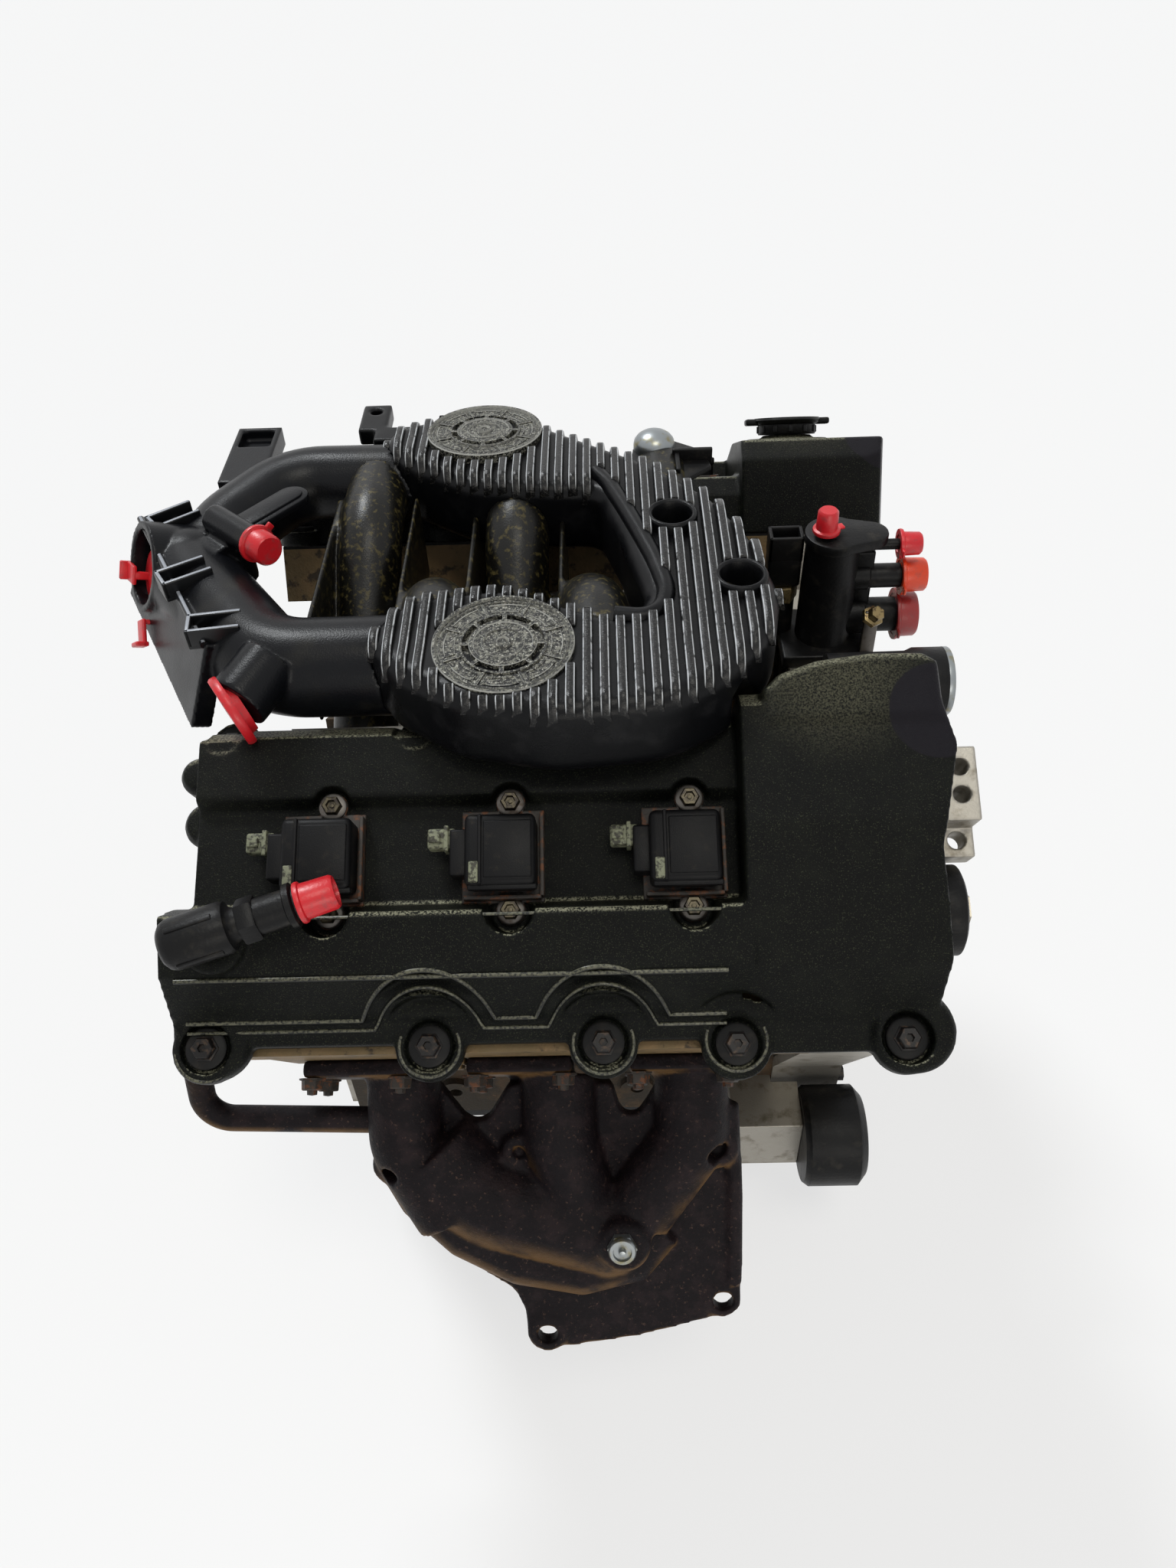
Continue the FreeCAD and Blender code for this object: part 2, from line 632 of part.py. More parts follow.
def lobe(x, angle):
    """A cam lobe's base circle and nose with the tangents between them."""
    circles = [(0, 0, s.lobe_base_radius, 1), (0, s.lobe_reach, s.lobe_nose_radius, 1)]
    solid = slab(tangent_loop(circles), 0, s.lobe_width)
    solid.rotate(V(0, 0, 0), V(0, 0, 1), angle)
    solid.rotate(V(0, 0, 0), V(0, 1, 0), 90)
    solid.translate(V(x, 0, 0))
    return solid


def bearing_caps():
    caps = []
    for side in (NEAR, FAR):
        for i in range(4):
            x = cylinder_x(side, 0) - s.bore_pitch / 2 - s.bearing_width / 2 + i * s.bore_pitch
            width = s.bearing_width
            if side == FAR and i == 3:
                width = s.block_length - x
            tag = "%s_%d" % (word(side), i)
            blank = box("cam_cap_" + tag, x, -s.cam_spread - 18, s.head_top, width,
                        2 * s.cam_spread + 36, s.bearing_cap_height)
            holes = [rod("cam_cap_hole_" + tag, s.cam_journal_radius + s.running_clearance, width + 2,
                         x - 1, out, s.head_top) for out in (-s.cam_spread, s.cam_spread)]
            caps.append(turned(cut("cam_bearing_cap_" + tag, blank, *holes), side))
    node("cam_bearing_caps", group("cam_caps", *caps))


def plug_tubes():
    tubes, plugs = [], []
    seat = s.deck_height + s.plug_seat
    for side in (NEAR, FAR):
        for i in range(3):
            tag = "%s_%d" % (word(side), i)
            x = cylinder_x(side, i)
            height = s.trough_up - s.cover_wall - s.cam_pocket_floor
            outer = rod("tube_" + tag, s.plug_tube_radius, height, x, 0, s.cam_pocket_floor, "z")
            inner = rod("tube_bore_" + tag, s.plug_well_radius, height + 2, x, 0, s.cam_pocket_floor - 1, "z")
            tubes.append(turned(cut("plug_tube_" + tag, outer, inner), side))
            hexagon = rod("plug_hex_" + tag, 9, 12, x, 0, seat, "z", 6)
            shell = rod("plug_thread_" + tag, 7, 16, x, 0, seat - 15, "z")
            tip = rod("plug_insulator_" + tag, 5, s.plug_height - 10, x, 0, seat + 10, "z")
            plugs.append(turned(fused("plug_" + tag, hexagon, shell, tip), side))
    node("spark_plug_tubes", group("tubes", *tubes))
    node("spark_plugs", group("plugs", *plugs))


def cover_solid(side, t):
    """A valve cover's outer form, or its hollow when t is the wall."""
    name = "%s_cover_%s" % (word(side), "hollow" if t else "form")
    shift = s.bank_offset if side == FAR else 0
    base = s.head_top + s.cover_gasket - (1 if t else 0)
    rail = [(-78 + t, base), (-76 + t, s.trough_up - 4), (-68 + t, s.hump_up - t), (-34 - t / 2, s.hump_up - t),
            (-28 - t / 2, s.trough_up - t), (24 + t, s.trough_up - t), (31 + t, s.band_up - t),
            (61 - t, s.band_up - 8 - t), (84 - t, s.flange_up + 4 - t), (96 - 2 * t, s.flange_up - t),
            (96 - 2 * t, base)]
    tall = [(-82 + t, base), (-82 + t, s.timing_top_up - 13), (-72 + t, s.timing_top_up - t),
            (-9, s.timing_top_up - 1 - t), (30, s.band_up + 1 - t), (61 - t, s.band_up - 11 - t),
            (90 - t, s.flange_up + 2 - t), (104 - 2 * t, s.flange_up - t), (104 - 2 * t, base)]
    step = s.cover_step + shift * 1.1
    front = s.cover_front + shift * 0.7
    plan = [(step + t, -83), (front - 22, -83), (front - 8 - t, -80 + t), (front - t, -48), (front - 11 - t, 4),
            (front - 6 - t, 59), (front - 12 - t, 90), (front - 25 - t, 106), (step + t, 106)]
    long = prism(name + "_rail", "YZ_Plane", [(side * y, z) for y, z in rail],
                 step + s.head_tail + 4 - t, x=-s.head_tail + t)
    tail = prism(name + "_tail", "YZ_Plane", [(side * y, z) for y, z in rail[5:] + [(24 + t, base)]],
                 s.cover_tail + 20, x=-s.cover_tail)
    across = prism(name + "_section", "YZ_Plane", [(side * y, z) for y, z in tall], front - step, x=step)
    top = prism(name + "_plan", "XY_Plane", [(x, side * y) for x, y in plan], s.timing_top_up)
    pieces = [long, common(name + "_tall", across, top)]
    return fused(name, *pieces, tail) if not t else fused(name, *pieces)


def bolt_places(side):
    """Where a valve cover's bolts stand, as X and the distance outboard."""
    shift = s.bank_offset if side == FAR else 0
    outboard = [(-12, 96), (107 + shift, 97), (199 + shift, 97), (269 + shift, 99), (358 + shift / 2, 98)]
    inboard = [(-6, -72), (100, -72), (196, -72)]
    return outboard + inboard


def valve_cover(side):
    """The hollow cover with bolt bosses sunk in wells, and seats for the coils' ears in its trough."""
    name = word(side)
    form, hollow = cover_solid(side, 0), cover_solid(side, s.cover_wall)
    base = s.head_top + s.cover_gasket
    bosses, wells, bolts, pads = [], [], [], []
    for k, (x, out) in enumerate(bolt_places(side)):
        tag = "%s_%d" % (name, k)
        bosses.append(rod("cover_boss_" + tag, 15, s.flange_up - base, x, side * out, base, "z"))
        wells.append(rod("cover_well_" + tag, 12.5, 60, x, side * out, s.flange_up, "z"))
        bolts.append(turned(rod("cover_bolt_" + tag, 7, 8, x, side * out, s.flange_up, "z", 6), side))
    for i in range(3):
        x = cylinder_x(side, i)
        wells.append(rod("%s_coil_hole_%d" % (name, i), s.coil_stalk_radius + 2, 20, x, 0, s.trough_up - 10,
                         "z"))
        for y in (s.coil_bolt_spread, -s.coil_bolt_spread):
            tag = "%s_%d" % (name, i)
            pads.append(rod("coil_pad_" + tag, 14, 60, x + 4, y, s.trough_up - 8, "z"))
            wells.append(rod("coil_seat_" + tag, 9.5, 60, x + 4, y, s.trough_up, "z"))
        wells.append(box("coil_bed_" + tag, x - 23, -26, s.trough_up, 46, 52, 40))
    if side == NEAR:
        bosses.append(rod("breather_boss", 10, 14, 0, -44, s.band_up - 13, "z"))
    if side == FAR:
        neck = rod("filler_neck", 18, 12, s.cap_place, 0, s.timing_top_up - 8, "z")
        form = fused("far_cover_with_neck", form, neck)
        wells.append(rod("filler_bore", 13, 40, s.cap_place, 0, s.timing_top_up - 25, "z"))
    seats = common(name + "_cover_seats", form, fused(name + "_coil_pads", *pads))
    shell = cut(name + "_cover_hollowed", fused(name + "_cover_body", form, *bosses), hollow)
    solid = fused(name + "_cover_seated", shell, seats)
    node(name + "_valve_cover", turned(cut(name + "_cover_shell", solid, *wells), side))
    return bolts


def valve_covers():
    bolts = valve_cover(NEAR) + valve_cover(FAR)
    node("valve_cover_bolts", group("cover_bolts", *bolts))
    gaskets = []
    for side in (NEAR, FAR):
        name = word(side)
        length = s.block_length + s.head_tail + s.timing_depth
        start = -s.head_in if side == FAR else -s.head_out + 4
        outer = box(name + "_gasket_outer", -s.head_tail, start, s.head_top, length,
                    s.head_in + s.head_out - 4, s.cover_gasket)
        inner = box(name + "_gasket_inner", -s.head_tail + 4, -78, s.head_top - 1, length - 9, 156,
                    s.cover_gasket + 2)
        gaskets.append(turned(cut(name + "_gasket", outer, inner), side))
    node("valve_cover_gaskets", group("cover_gaskets", *gaskets))


def ignition_coils():
    count = 0
    bolts = []
    plug_top = s.deck_height + s.plug_seat + s.plug_height
    for side in (NEAR, FAR):
        for i in range(3):
            count += 1
            x = cylinder_x(side, i)
            tag = "_%d" % count
            base = s.trough_up
            plate = box("coil_plate" + tag, x - s.coil_length / 2 - 3, -s.coil_width / 2 - 4, base,
                        s.coil_length + 6, s.coil_width + 8, 3)
            ears = [rod("coil_ear" + tag, 8, 3, x + dx, y, base, "z")
                    for dx, y in ((4, s.coil_bolt_spread), (4, -s.coil_bolt_spread))]
            core = box("coil_core" + tag, x - s.coil_length / 2, -s.coil_width / 2, base + 3, s.coil_length,
                       s.coil_width, s.coil_height)
            shoulder = box("coil_shoulder" + tag, x - s.coil_length / 2 - 8, -s.coil_width / 2 + 8, base + 3,
                           10, s.coil_width - 16, s.coil_height - 8)
            plug = box("coil_plug" + tag, x - s.coil_length / 2 - 21, side * 8 - 6, base + 6, 14, 12, 10)
            stalk = rod("coil_stalk" + tag, s.coil_stalk_radius, base - plug_top, x, 0, plug_top + s.gap, "z")
            coil = fused("coil" + tag, plate, core, shoulder, plug, stalk, *ears)
            node("ignition_coil" + tag, turned(coil, side))
            for y in (s.coil_bolt_spread, -s.coil_bolt_spread):
                head = fused("coil_bolt" + tag, rod("coil_bolt_washer" + tag, 7, 1.5, x + 4, y, base + 3, "z"),
                             rod("coil_bolt_head" + tag, 5.5, 5, x + 4, y, base + 4.5, "z", 6))
                bolts.append(turned(head, side))
    node("coil_bolts", group("all_coil_bolts", *bolts))


# Timing drive

def cam_centre(side, out):
    y, z = from_bank(side, out, s.head_top)
    return float(y), float(z)


def sprocket(label, teeth, bore, x, y, z):
    radius = sprocket_radius(teeth)
    shape = toothed(teeth, radius - 1.2, s.tooth_height, s.chain_width)
    hub = Part.makeCylinder(bore + 5, s.chain_width + 6, V(-3, 0, 0), V(1, 0, 0))
    hole = Part.makeCylinder(bore, s.chain_width + 10, V(-5, 0, 0), V(1, 0, 0))
    shape = shape.fuse(hub).cut(hole)
    node(label, place(feature(label + "_shape", shape), x, y, z))


def sprockets():
    cam_teeth = 2 * s.crank_teeth
    sprocket("crank_sprocket", s.crank_teeth, s.snout_radius, s.chain_plane, 0, 0)
    for side in (NEAR, FAR):
        name = word(side)
        y, z = from_bank(side, -s.cam_spread, s.head_top)
        big = toothed(cam_teeth, sprocket_radius(cam_teeth) - 1.2, s.tooth_height, s.chain_width)
        small = toothed(s.crank_teeth, sprocket_radius(s.crank_teeth) - 1.2, s.tooth_height, s.chain_width)
        small.translate(V(s.link_plane - s.chain_plane, 0, 0))
        hub = Part.makeCylinder(s.cam_shaft_radius + 4, s.link_plane - s.chain_plane, V(0, 0, 0), V(1, 0, 0))
        hole = Part.makeCylinder(s.cam_shaft_radius, 60, V(-5, 0, 0), V(1, 0, 0))
        shape = big.multiFuse([small, hub]).cut(hole)
        node(name + "_intake_sprocket", place(feature(name + "_double_sprocket", shape), s.chain_plane, y, z))
        y, z = from_bank(side, s.cam_spread, s.head_top)
        sprocket(name + "_exhaust_sprocket", s.crank_teeth, s.cam_shaft_radius, s.link_plane, y, z)
    bore = s.pump_pin + s.running_clearance
    sprocket("pump_sprocket", s.crank_teeth, bore, s.chain_plane, 0, s.pump_height)


def chain_loop(circles, x):
    """A chain's closed band round its sprockets, clear of their teeth."""
    centre = s.tooth_height + s.gap + s.chain_thickness / 2
    bands = []
    for edge in (s.chain_thickness / 2, -s.chain_thickness / 2):
        ring = [(y, z, radius + centre + turn * edge, turn) for y, z, radius, turn in circles]
        bands.append(slab(tangent_loop(ring), 0, s.chain_width))
    solid = bands[0].cut(bands[1])
    solid.Placement = FreeCAD.Placement(V(x, 0, 0), FreeCAD.Rotation(V(1, 1, 1), 120))
    return solid


def chains():
    small = float(sprocket_radius(s.crank_teeth)) - 1.2
    large = float(sprocket_radius(2 * s.crank_teeth)) - 1.2
    ny, nz = cam_centre(NEAR, -s.cam_spread)
    fy, fz = cam_centre(FAR, -s.cam_spread)
    drive = [(0, 0, small, 1), (fy, fz, large, 1), (0, float(s.pump_height), small, -1), (ny, nz, large, 1)]
    node("timing_chain", feature("drive_chain", chain_loop(drive, s.chain_plane)))
    links = []
    for side in (NEAR, FAR):
        circles = [cam_centre(side, side * s.cam_spread) + (small, 1),
                   cam_centre(side, -side * s.cam_spread) + (small, 1)]
        links.append(feature(word(side) + "_link_chain", chain_loop(circles, s.link_plane)))
    node("camshaft_link_chains", group("link_chains", *links))


def timing_edge(w):
    """Half of the timing cover's outline, taken inwards by w."""
    return [(62 - w, -s.skirt_depth + w), (s.skirt_half_width - 3 - w, -s.skirt_depth + 2 + w),
            (s.skirt_half_width + 3 - w, w), (200 - w, 150 + w),
            from_bank(FAR, 88 - w, s.head_top + w / 5), from_bank(FAR, -84 + w, s.head_top + w / 5),
            (s.timing_valley_half, s.timing_valley_top - w)]


def timing_cover():
    """The open-backed front casting, its front seal hole and the pins of the pump sprocket and the idler."""
    t = s.timing_wall
    shapes = []
    for name, w in (("timing_form", 0), ("timing_hollow", t)):
        shapes.append(prism(name, "YZ_Plane", mirrored(timing_edge(w)), s.timing_depth - w + w / 5,
                            x=s.block_length - w / 5))
    front = s.timing_front
    seal = rod("front_seal_hole", s.pulley_hub_radius + s.gap, 20, front - 10)
    pin = rod("pump_pin", s.pump_pin, 44, front - t - 43, 0, s.pump_height)
    boss = rod("idler_boss", 14, s.idler_gap - s.gap, front, *idler_place())
    casting = cut("timing_casting", shapes[0], shapes[1], seal)
    node("timing_cover", fused("timing_with_pins", casting, pin, boss))
    bolts = []
    corners = timing_edge(s.timing_bolt_inset)
    for corner, share in ((0, 0), (1, 0.3), (2, 0.3), (2, 0.8), (3, 0.5), (6, 0)):
        y, z = corners[corner]
        next_y, next_z = corners[(corner + 1) % len(corners)]
        for side in (NEAR, FAR):
            bolts.append(rod("timing_bolt", s.timing_bolt_radius, s.timing_bolt_radius, front,
                             side * (y + share * (next_y - y)), z + share * (next_z - z), "x", 6))
    node("timing_cover_bolts", group("timing_bolts", *bolts))


def idler_place():
    return -175, 254


# Intake

PLENUM = [
    (80, -99, 18), (96, -124, 26), (130, -148, 34), (177, -160, 60), (236, -154, 60), (266, -134, 50),
    (291, -100, 50), (298, -66, 60), (288, -15, 80), (269, 28, 60), (236, 68, 60), (202, 94, 60),
    (128, 150, 50), (60, 119, 22), (81, 87, 22), (124, 55, 30), (173, 48, 20), (206, 46, 20),
    (220, -3, 40), (233, -67, 16), (223, -94, 14), (206, -90, 16), (149, -61, 40), (98, -69, 22),
]


def plenum_outline(grow):
    wire = rounded_loop(PLENUM)
    return wire.makeOffset2D(float(grow), 0) if grow else wire


def plenum_body():
    """The rounded chamber, cut away below where it overhangs the valve covers."""
    body = slab(plenum_outline(s.plenum_bulge), s.plenum_floor, s.plenum_deck)
    rims = [edge for edge in body.Edges if edge.BoundBox.ZLength < 0.01]
    body = body.makeFillet(float(s.plenum_round), rims)
    for side in (NEAR, FAR):
        body = body.cut(bank_box(side, -20, -82, 300, 300, 110, s.hump_up + 2 - 300))
        body = body.cut(bank_box(side, s.cover_step - 3, -86, 300, 60, 110, s.timing_top_up + 2 - 300))
    return body


def bank_box(side, x, out, up, length, reach, height):
    """A plain box given in a bank's frame and stood in the engine's."""
    solid = Part.makeBox(length, reach, height, V(x, out if side == FAR else -out - reach, up))
    solid.rotate(V(0, 0, 0), V(1, 0, 0), -side * s.bank_angle)
    return solid


def plenum_solid():
    """The C-shaped plastic chamber, its comb of ribs, two raised discs and two bolt wells."""
    crown = Part.makeCylinder(s.crown_radius, 400, V(0, 0, s.plenum_top - s.crown_radius), V(1, 0, 0))
    ribs = []
    for k in range(28):
        ribs.append(Part.makeBox(s.rib_width, 330, 30, V(62 + k * s.rib_pitch, -170, s.plenum_deck - 5)))
    field = slab(plenum_outline(-2), s.plenum_deck - 1, s.plenum_top).common(crown)
    pieces = [field.common(Part.makeCompound(ribs))]
    for y, x in ((-s.disc_spread, 151.7), (s.disc_spread, 129)):
        tilt = math.degrees(math.asin(y / s.crown_radius))
        disc = Part.makeCylinder(s.disc_radius, 14, V(0, 0, -14))
        recess = Part.makeCylinder(s.disc_radius - 3, 3, V(0, 0, -2))
        disc = disc.cut(recess.cut(Part.makeCylinder(20, 3, V(0, 0, -2))))
        disc.rotate(V(0, 0, 0), V(1, 0, 0), -tilt)
        disc.translate(V(x, y, s.plenum_top - s.crown_radius * (1 - math.cos(math.radians(tilt))) + 0.6))
        pieces.append(disc)
    pieces.append(Part.makeBox(20, 36, 12, V(38, 146, 380)))
    pieces.append(Part.makeBox(40, 18, 12, V(50, 132, 380)))
    shape = plenum_body().multiFuse(pieces)
    for x, y in ((246, 2), (281, -60)):
        shape = shape.cut(Part.makeCylinder(s.well_radius, 90, V(x, y, s.plenum_floor - 5)))
    return shape.cut(Part.makeCylinder(4, 30, V(48, 172, 370)))


def intake_runners(plenum):
    """Six runners, each from one lobe of the plenum across the valley to the other bank."""
    runners = []
    z = s.plenum_floor + s.runner_radius + 2
    for side in (NEAR, FAR):
        y, low = from_bank(side, -s.port_face_out, s.intake_port_up)
        starts = (58, 151, 244) if side == NEAR else (108, 200, 268)
        for i in range(3):
            x = float(cylinder_x(side, i))
            path = [(starts[i], -side * 100, z), (starts[i], -side * 42, z), (x, y, low)]
            runners.append(pipe(path, 55, s.runner_radius))
    union = runners[0].multiFuse(runners[1:])
    for x in (33, 83, 123, 178):
        union = union.fuse(Part.makeBox(3, 150, 60, V(x, -75, 322)))
    union = union.cut(plenum).cut(duct_solid())
    for side in (NEAR, FAR):
        union = union.cut(bank_box(side, -40, -s.port_face_out - s.rail_thickness, 200, 400, 60, 110))
    node("intake_runners", feature("runner_shape", union))


def lower_intake():
    """The two port rails on the heads and the plate that joins them over the valley."""
    rails = []
    low = s.deck_height + s.rail_rise
    for side in (NEAR, FAR):
        y = -s.port_face_out - s.rail_thickness if side == FAR else s.port_face_out
        rail = box(word(side) + "_rail", s.head_rear + 4, y, low, s.block_length - s.head_rear - 12,
                   s.rail_thickness, s.head_step - low)
        rails.append(turned(rail, side))
    y, z = from_bank(FAR, -s.port_face_out - s.rail_thickness, low)
    plate = box("valley_plate", 40, -y - 3, z - 2, 240, 2 * y + 6, 8)
    node("lower_intake_manifold", fused("lower_intake", plate, *rails))


def duct_solid():
    """The two ducts that meet at the throttle opening, and the leaning flange plate beside it."""
    r = float(s.duct_radius)
    near = pipe([(96, -86, 372), (16, -86, 372), (-54, 15, 367)], 45, r)
    far = pipe([(84, 104, 376), (-2, 106, 376), (-36, 62, 371), (-54, 10, 366)], 45, r - 4)
    stub = Part.makeCylinder(17, 30, V(22, -98, 386), V(-16, -26, -8))
    meet = Part.makeSphere(r + 3, V(-52, 16, 365))
    plate = Part.makeBox(152, 12, 56, V(-82, -6, -28))
    plate.Placement = FreeCAD.Placement(V(-52, -30, 364), FreeCAD.Rotation(V(0, 0, 1), -61.9).multiply(
        FreeCAD.Rotation(V(1, 0, 0), -23)))
    away = plate.Placement.Rotation.multVec(V(0, -1, 0))
    ring = Part.makeCylinder(28, 36, V(-52, 28, 362), away)
    bore = Part.makeCylinder(23, 40, V(-52, 28, 362) + away * 20, away)
    oval = Part.makeBox(56, 20, 8, V(-28, -10, 0))
    oval.rotate(V(0, 0, 0), V(0, 0, 1), 52)
    oval.translate(V(-24, 18, 386))
    rise = Part.makeCylinder(12, 26, V(-24, 18, 362))
    nipple = Part.makeCylinder(9, 50, V(-34, 30, 398), V(38, -38, 3))
    channel = Part.makeBox(30, 72, 14, V(-48, 90, 374)).cut(Part.makeBox(22, 22, 12, V(-44, 136, 380)))
    shape = near.multiFuse([far, stub, meet, plate, ring, oval, rise, nipple, channel])
    return shape.cut(bore).cut(plenum_body())


# Exhaust

APRON = [
    (-86, 52, 8), (-89, 66, 8), (-64, 96, 60), (-34, 126, 60), (-10, 142, 20), (-4, 156, 10), (-2, 178, 10),
    (24, 182, 12), (70, 175, 60), (112, 164, 20), (131, 158, 6), (131, 120, 10), (129, 50, 14), (122, 6, 6),
    (83, 6, 6), (63, 38, 10), (54, 6, 6), (-8, 6, 6), (-28, 38, 10), (-50, 6, 6), (-93, 6, 6),
]


def manifold_place(side):
    """The middle of an exhaust manifold's top edge, where its slope begins."""
    y, z = from_bank(NEAR, s.head_out + s.manifold_flange, s.exhaust_port_up)
    return FreeCAD.Placement(V(s.first_bore + s.bore_pitch, y, z), FreeCAD.Rotation(V(1, 0, 0), s.apron_slope))


def on_side(shape, side):
    """A near side shape, or its mirror image moved along to the far bank."""
    if side == FAR:
        shape = shape.mirror(V(0, 0, 0), V(0, 1, 0))
        shape.translate(V(s.bank_offset, 0, 0))
    return shape


def exhaust_manifold(side):
    """The cast log with its three runners, the wide flange below and its bolted port flanges."""
    apron = slab(rounded_loop([(x, -down, r) for x, down, r in APRON]), -s.apron_thickness, 0)
    runs = [pipe([(x, 14, -4), (x, -40, 4), (x + lean, -86, 6)], 30, s.runner_pipe_radius)
            for x, lean in ((-72, 26), (22, 12), (102, -34))]
    log = pipe([(-56, -44, 0), (-28, -78, 2), (50, -98, 4)], 60, s.collector_radius)
    cast = apron.multiFuse(runs + [log, Part.makeSphere(s.collector_radius, V(50, -98, 4))])
    for x, down in ((10, 172), (120, 152)):
        cast = cast.cut(Part.makeCylinder(s.outlet_hole_radius, 60, V(x, -down, -30)))
    cast.Placement = manifold_place(side)
    mouth = V(s.outlet_along, -s.outlet_aside, s.outlet_low)
    cast = cast.fuse(Part.makeCylinder(s.outlet_radius + 8, s.outlet_depth + 10, mouth))
    cast = cast.cut(Part.makeCylinder(s.outlet_radius, s.outlet_depth, mouth))
    cast = cast.cut(bank_box(NEAR, 0, 0, 100, s.block_length, s.head_out + s.manifold_flange, 300))
    flanges = []
    for i in range(3):
        x = cylinder_x(NEAR, i)
        flanges.append(bank_box(NEAR, x - 31, s.head_out, s.exhaust_port_up - 27, 62, s.manifold_flange, 54))
    shape = cast.multiFuse(flanges)
    sensor = Part.makeCylinder(9, 22, V(58, -92, 16))
    tip = Part.makeCylinder(5, 8, V(58, -92, 38))
    sensor = sensor.fuse(tip)
    sensor.Placement = manifold_place(side)
    name = word(side)
    node(name + "_exhaust_manifold", feature(name + "_manifold_shape", on_side(shape, side)))
    return on_side(sensor.cut(shape), side), shape


def exhausts():
    sensors = []
    for side in (FAR, NEAR):
        sensor, shape = exhaust_manifold(side)
        sensors.append(feature(word(side) + "_sensor", sensor))
    node("oxygen_sensors", group("sensors", *sensors))
    tube = pipe([(76, -232, 132), (-48, -230, 136), (-48, -203, 210), (s.head_rear, -203, 210)], 18,
                s.egr_radius)
    node("exhaust_gas_tube", feature("gas_tube", tube.cut(shape)))


# Front end

def crank_pulley():
    """The belt pulley, six grooves in its rim and its face dished round the hub."""
    w, r, p = s.pulley_width, s.pulley_radius, s.groove_pitch
    profile = [(s.snout_radius, -12), (s.pulley_hub_radius, -12), (s.pulley_hub_radius, 0), (r - 12, 0),
               (r - 12, 3), (r, 3)]
    for k in range(6):
        start = 5 + k * p
        floor = r - s.groove_depth
        profile += [(r, start), (floor, start + 0.4 * p), (floor, start + 0.5 * p), (r, start + 0.9 * p)]
    profile += [(r, w), (r - 8, w), (r - 10, 8), (s.pulley_hub_radius + 6, 8), (s.pulley_hub_radius, w - 4),
                (s.snout_radius, w - 4)]
    node("crank_pulley", revolved("pulley", profile, s.pulley_start, 0, 0, ALONG["x"]))
    head = rod("pulley_bolt_head", 14, 12, s.pulley_start + w, 0, 0, "x", 6)
    washer = rod("pulley_bolt_washer", 20, 4, s.pulley_start + w - 4, 0, 0)
    hole = rod("pulley_bolt_bore", s.snout_radius, 6, s.pulley_start + w - 6, 0, 0)
    node("crank_pulley_bolt", fused("pulley_bolt", head, cut("pulley_washer", washer, hole)))


def idler_pulley():
    y, z = idler_place()
    w, r = s.idler_width, s.idler_radius
    profile = [(s.idler_bore + s.running_clearance, 0), (r - 6, 0), (r, 2), (r, w - 2), (r - 4, w),
               (r - 8, w - 5), (s.idler_bore + 6, w - 5), (s.idler_bore + s.running_clearance, w - 3)]
    node("idler_pulley", revolved("idler", profile, s.idler_start, y, z, ALONG["x"]))
    shaft = rod("idler_shaft", s.idler_bore, w - 3 + 2 * s.gap, s.idler_start - s.gap, y, z)
    head = rod("idler_bolt_head", 11, 7, s.idler_start + w - 3 + s.gap, y, z, "x", 6)
    node("idler_bolt", fused("idler_bolt_shape", shaft, head))


def coolant_outlet():
    """The tower over the valley with its top flange and three hose nozzles towards the front."""
    x, y, r = 346, 15, s.outlet_tower_radius
    low, top = s.timing_valley_top, s.outlet_tower_top
    pieces = [box("outlet_base", x - 28, y - 26, low, 56, 52, 10),
              rod("outlet_tower", r, top - low, x, y, low, "z"),
              rod("outlet_top", r + 3, 5, x, y, top - 5, "z"),
              rod("outlet_lobe", 14, 5, x + 22, y, top - 5, "z"),
              rod("outlet_nipple", 4, 14, x - 6, y - 4, top, "z"),
              rod("sensor_hex", 10, 26, x - 28, y + 8, low + 10, "z", 6),
              rod("sensor_body", 12, 36, x - 28, y + 8, low + 36, "z", 6)]
    caps = [rod("nipple_cap", 7, 13, x - 6, y - 4, top + 4, "z")]
    for k, (radius, z) in enumerate(((5, 375), (9, 352), (13, 322))):
        pieces.append(rod("nozzle_%d" % k, radius, 44, x, y, z))
        caps.append(rod("nozzle_cap_%d" % k, radius + 4, 14, x + 40, y, z))
    caps = [cut("port_cap_%d" % k, cap, pieces[-3 + k - 1] if k else pieces[4]) for k, cap in enumerate(caps)]
    node("coolant_outlet", fused("outlet", *pieces))
    throttle = Part.makeCylinder(22, 4, V(22, -98, 386) + V(-16, -26, -8).normalize() * 30, V(-16, -26, -8))
    nipple = Part.makeCylinder(11, 14, V(-34, 30, 398) + V(38, -38, 3).normalize() * 46, V(38, -38, 3))
    nipple = nipple.cut(Part.makeCylinder(9, 50, V(-34, 30, 398), V(38, -38, 3)))
    caps += [feature("stub_cap", throttle), feature("duct_nipple_cap", nipple)]
    node("shipping_caps", group("caps_on_ports", *caps))


def coolant_neck():
    y, z = -72, 338
    outer = rod("neck_outer", s.neck_radius, 70, 333, y, z)
    foot = box("neck_foot", 330, y, s.timing_valley_top, 40, 30, 32)
    bore = rod("neck_bore", s.neck_radius - s.neck_wall, 64, 345, y, z)
    node("coolant_inlet_neck", cut("neck", fused("neck_body", outer, foot), bore))


def oil_filler_cap():
    up = s.timing_top_up + 4
    cap = fused("cap_body", rod("cap_plug", 13 - s.running_clearance, 14, s.cap_place, 0, up - 12, "z"),
                rod("cap_collar", 22, 7, s.cap_place, 0, up + s.gap, "z"),
                rod("cap_disc", 25, 5, s.cap_place, 0, up + 7, "z"),
                box("cap_lugs", s.cap_place - 33, -9, up + 7, 66, 18, 5))
    node("oil_filler_cap", turned(cap, FAR))


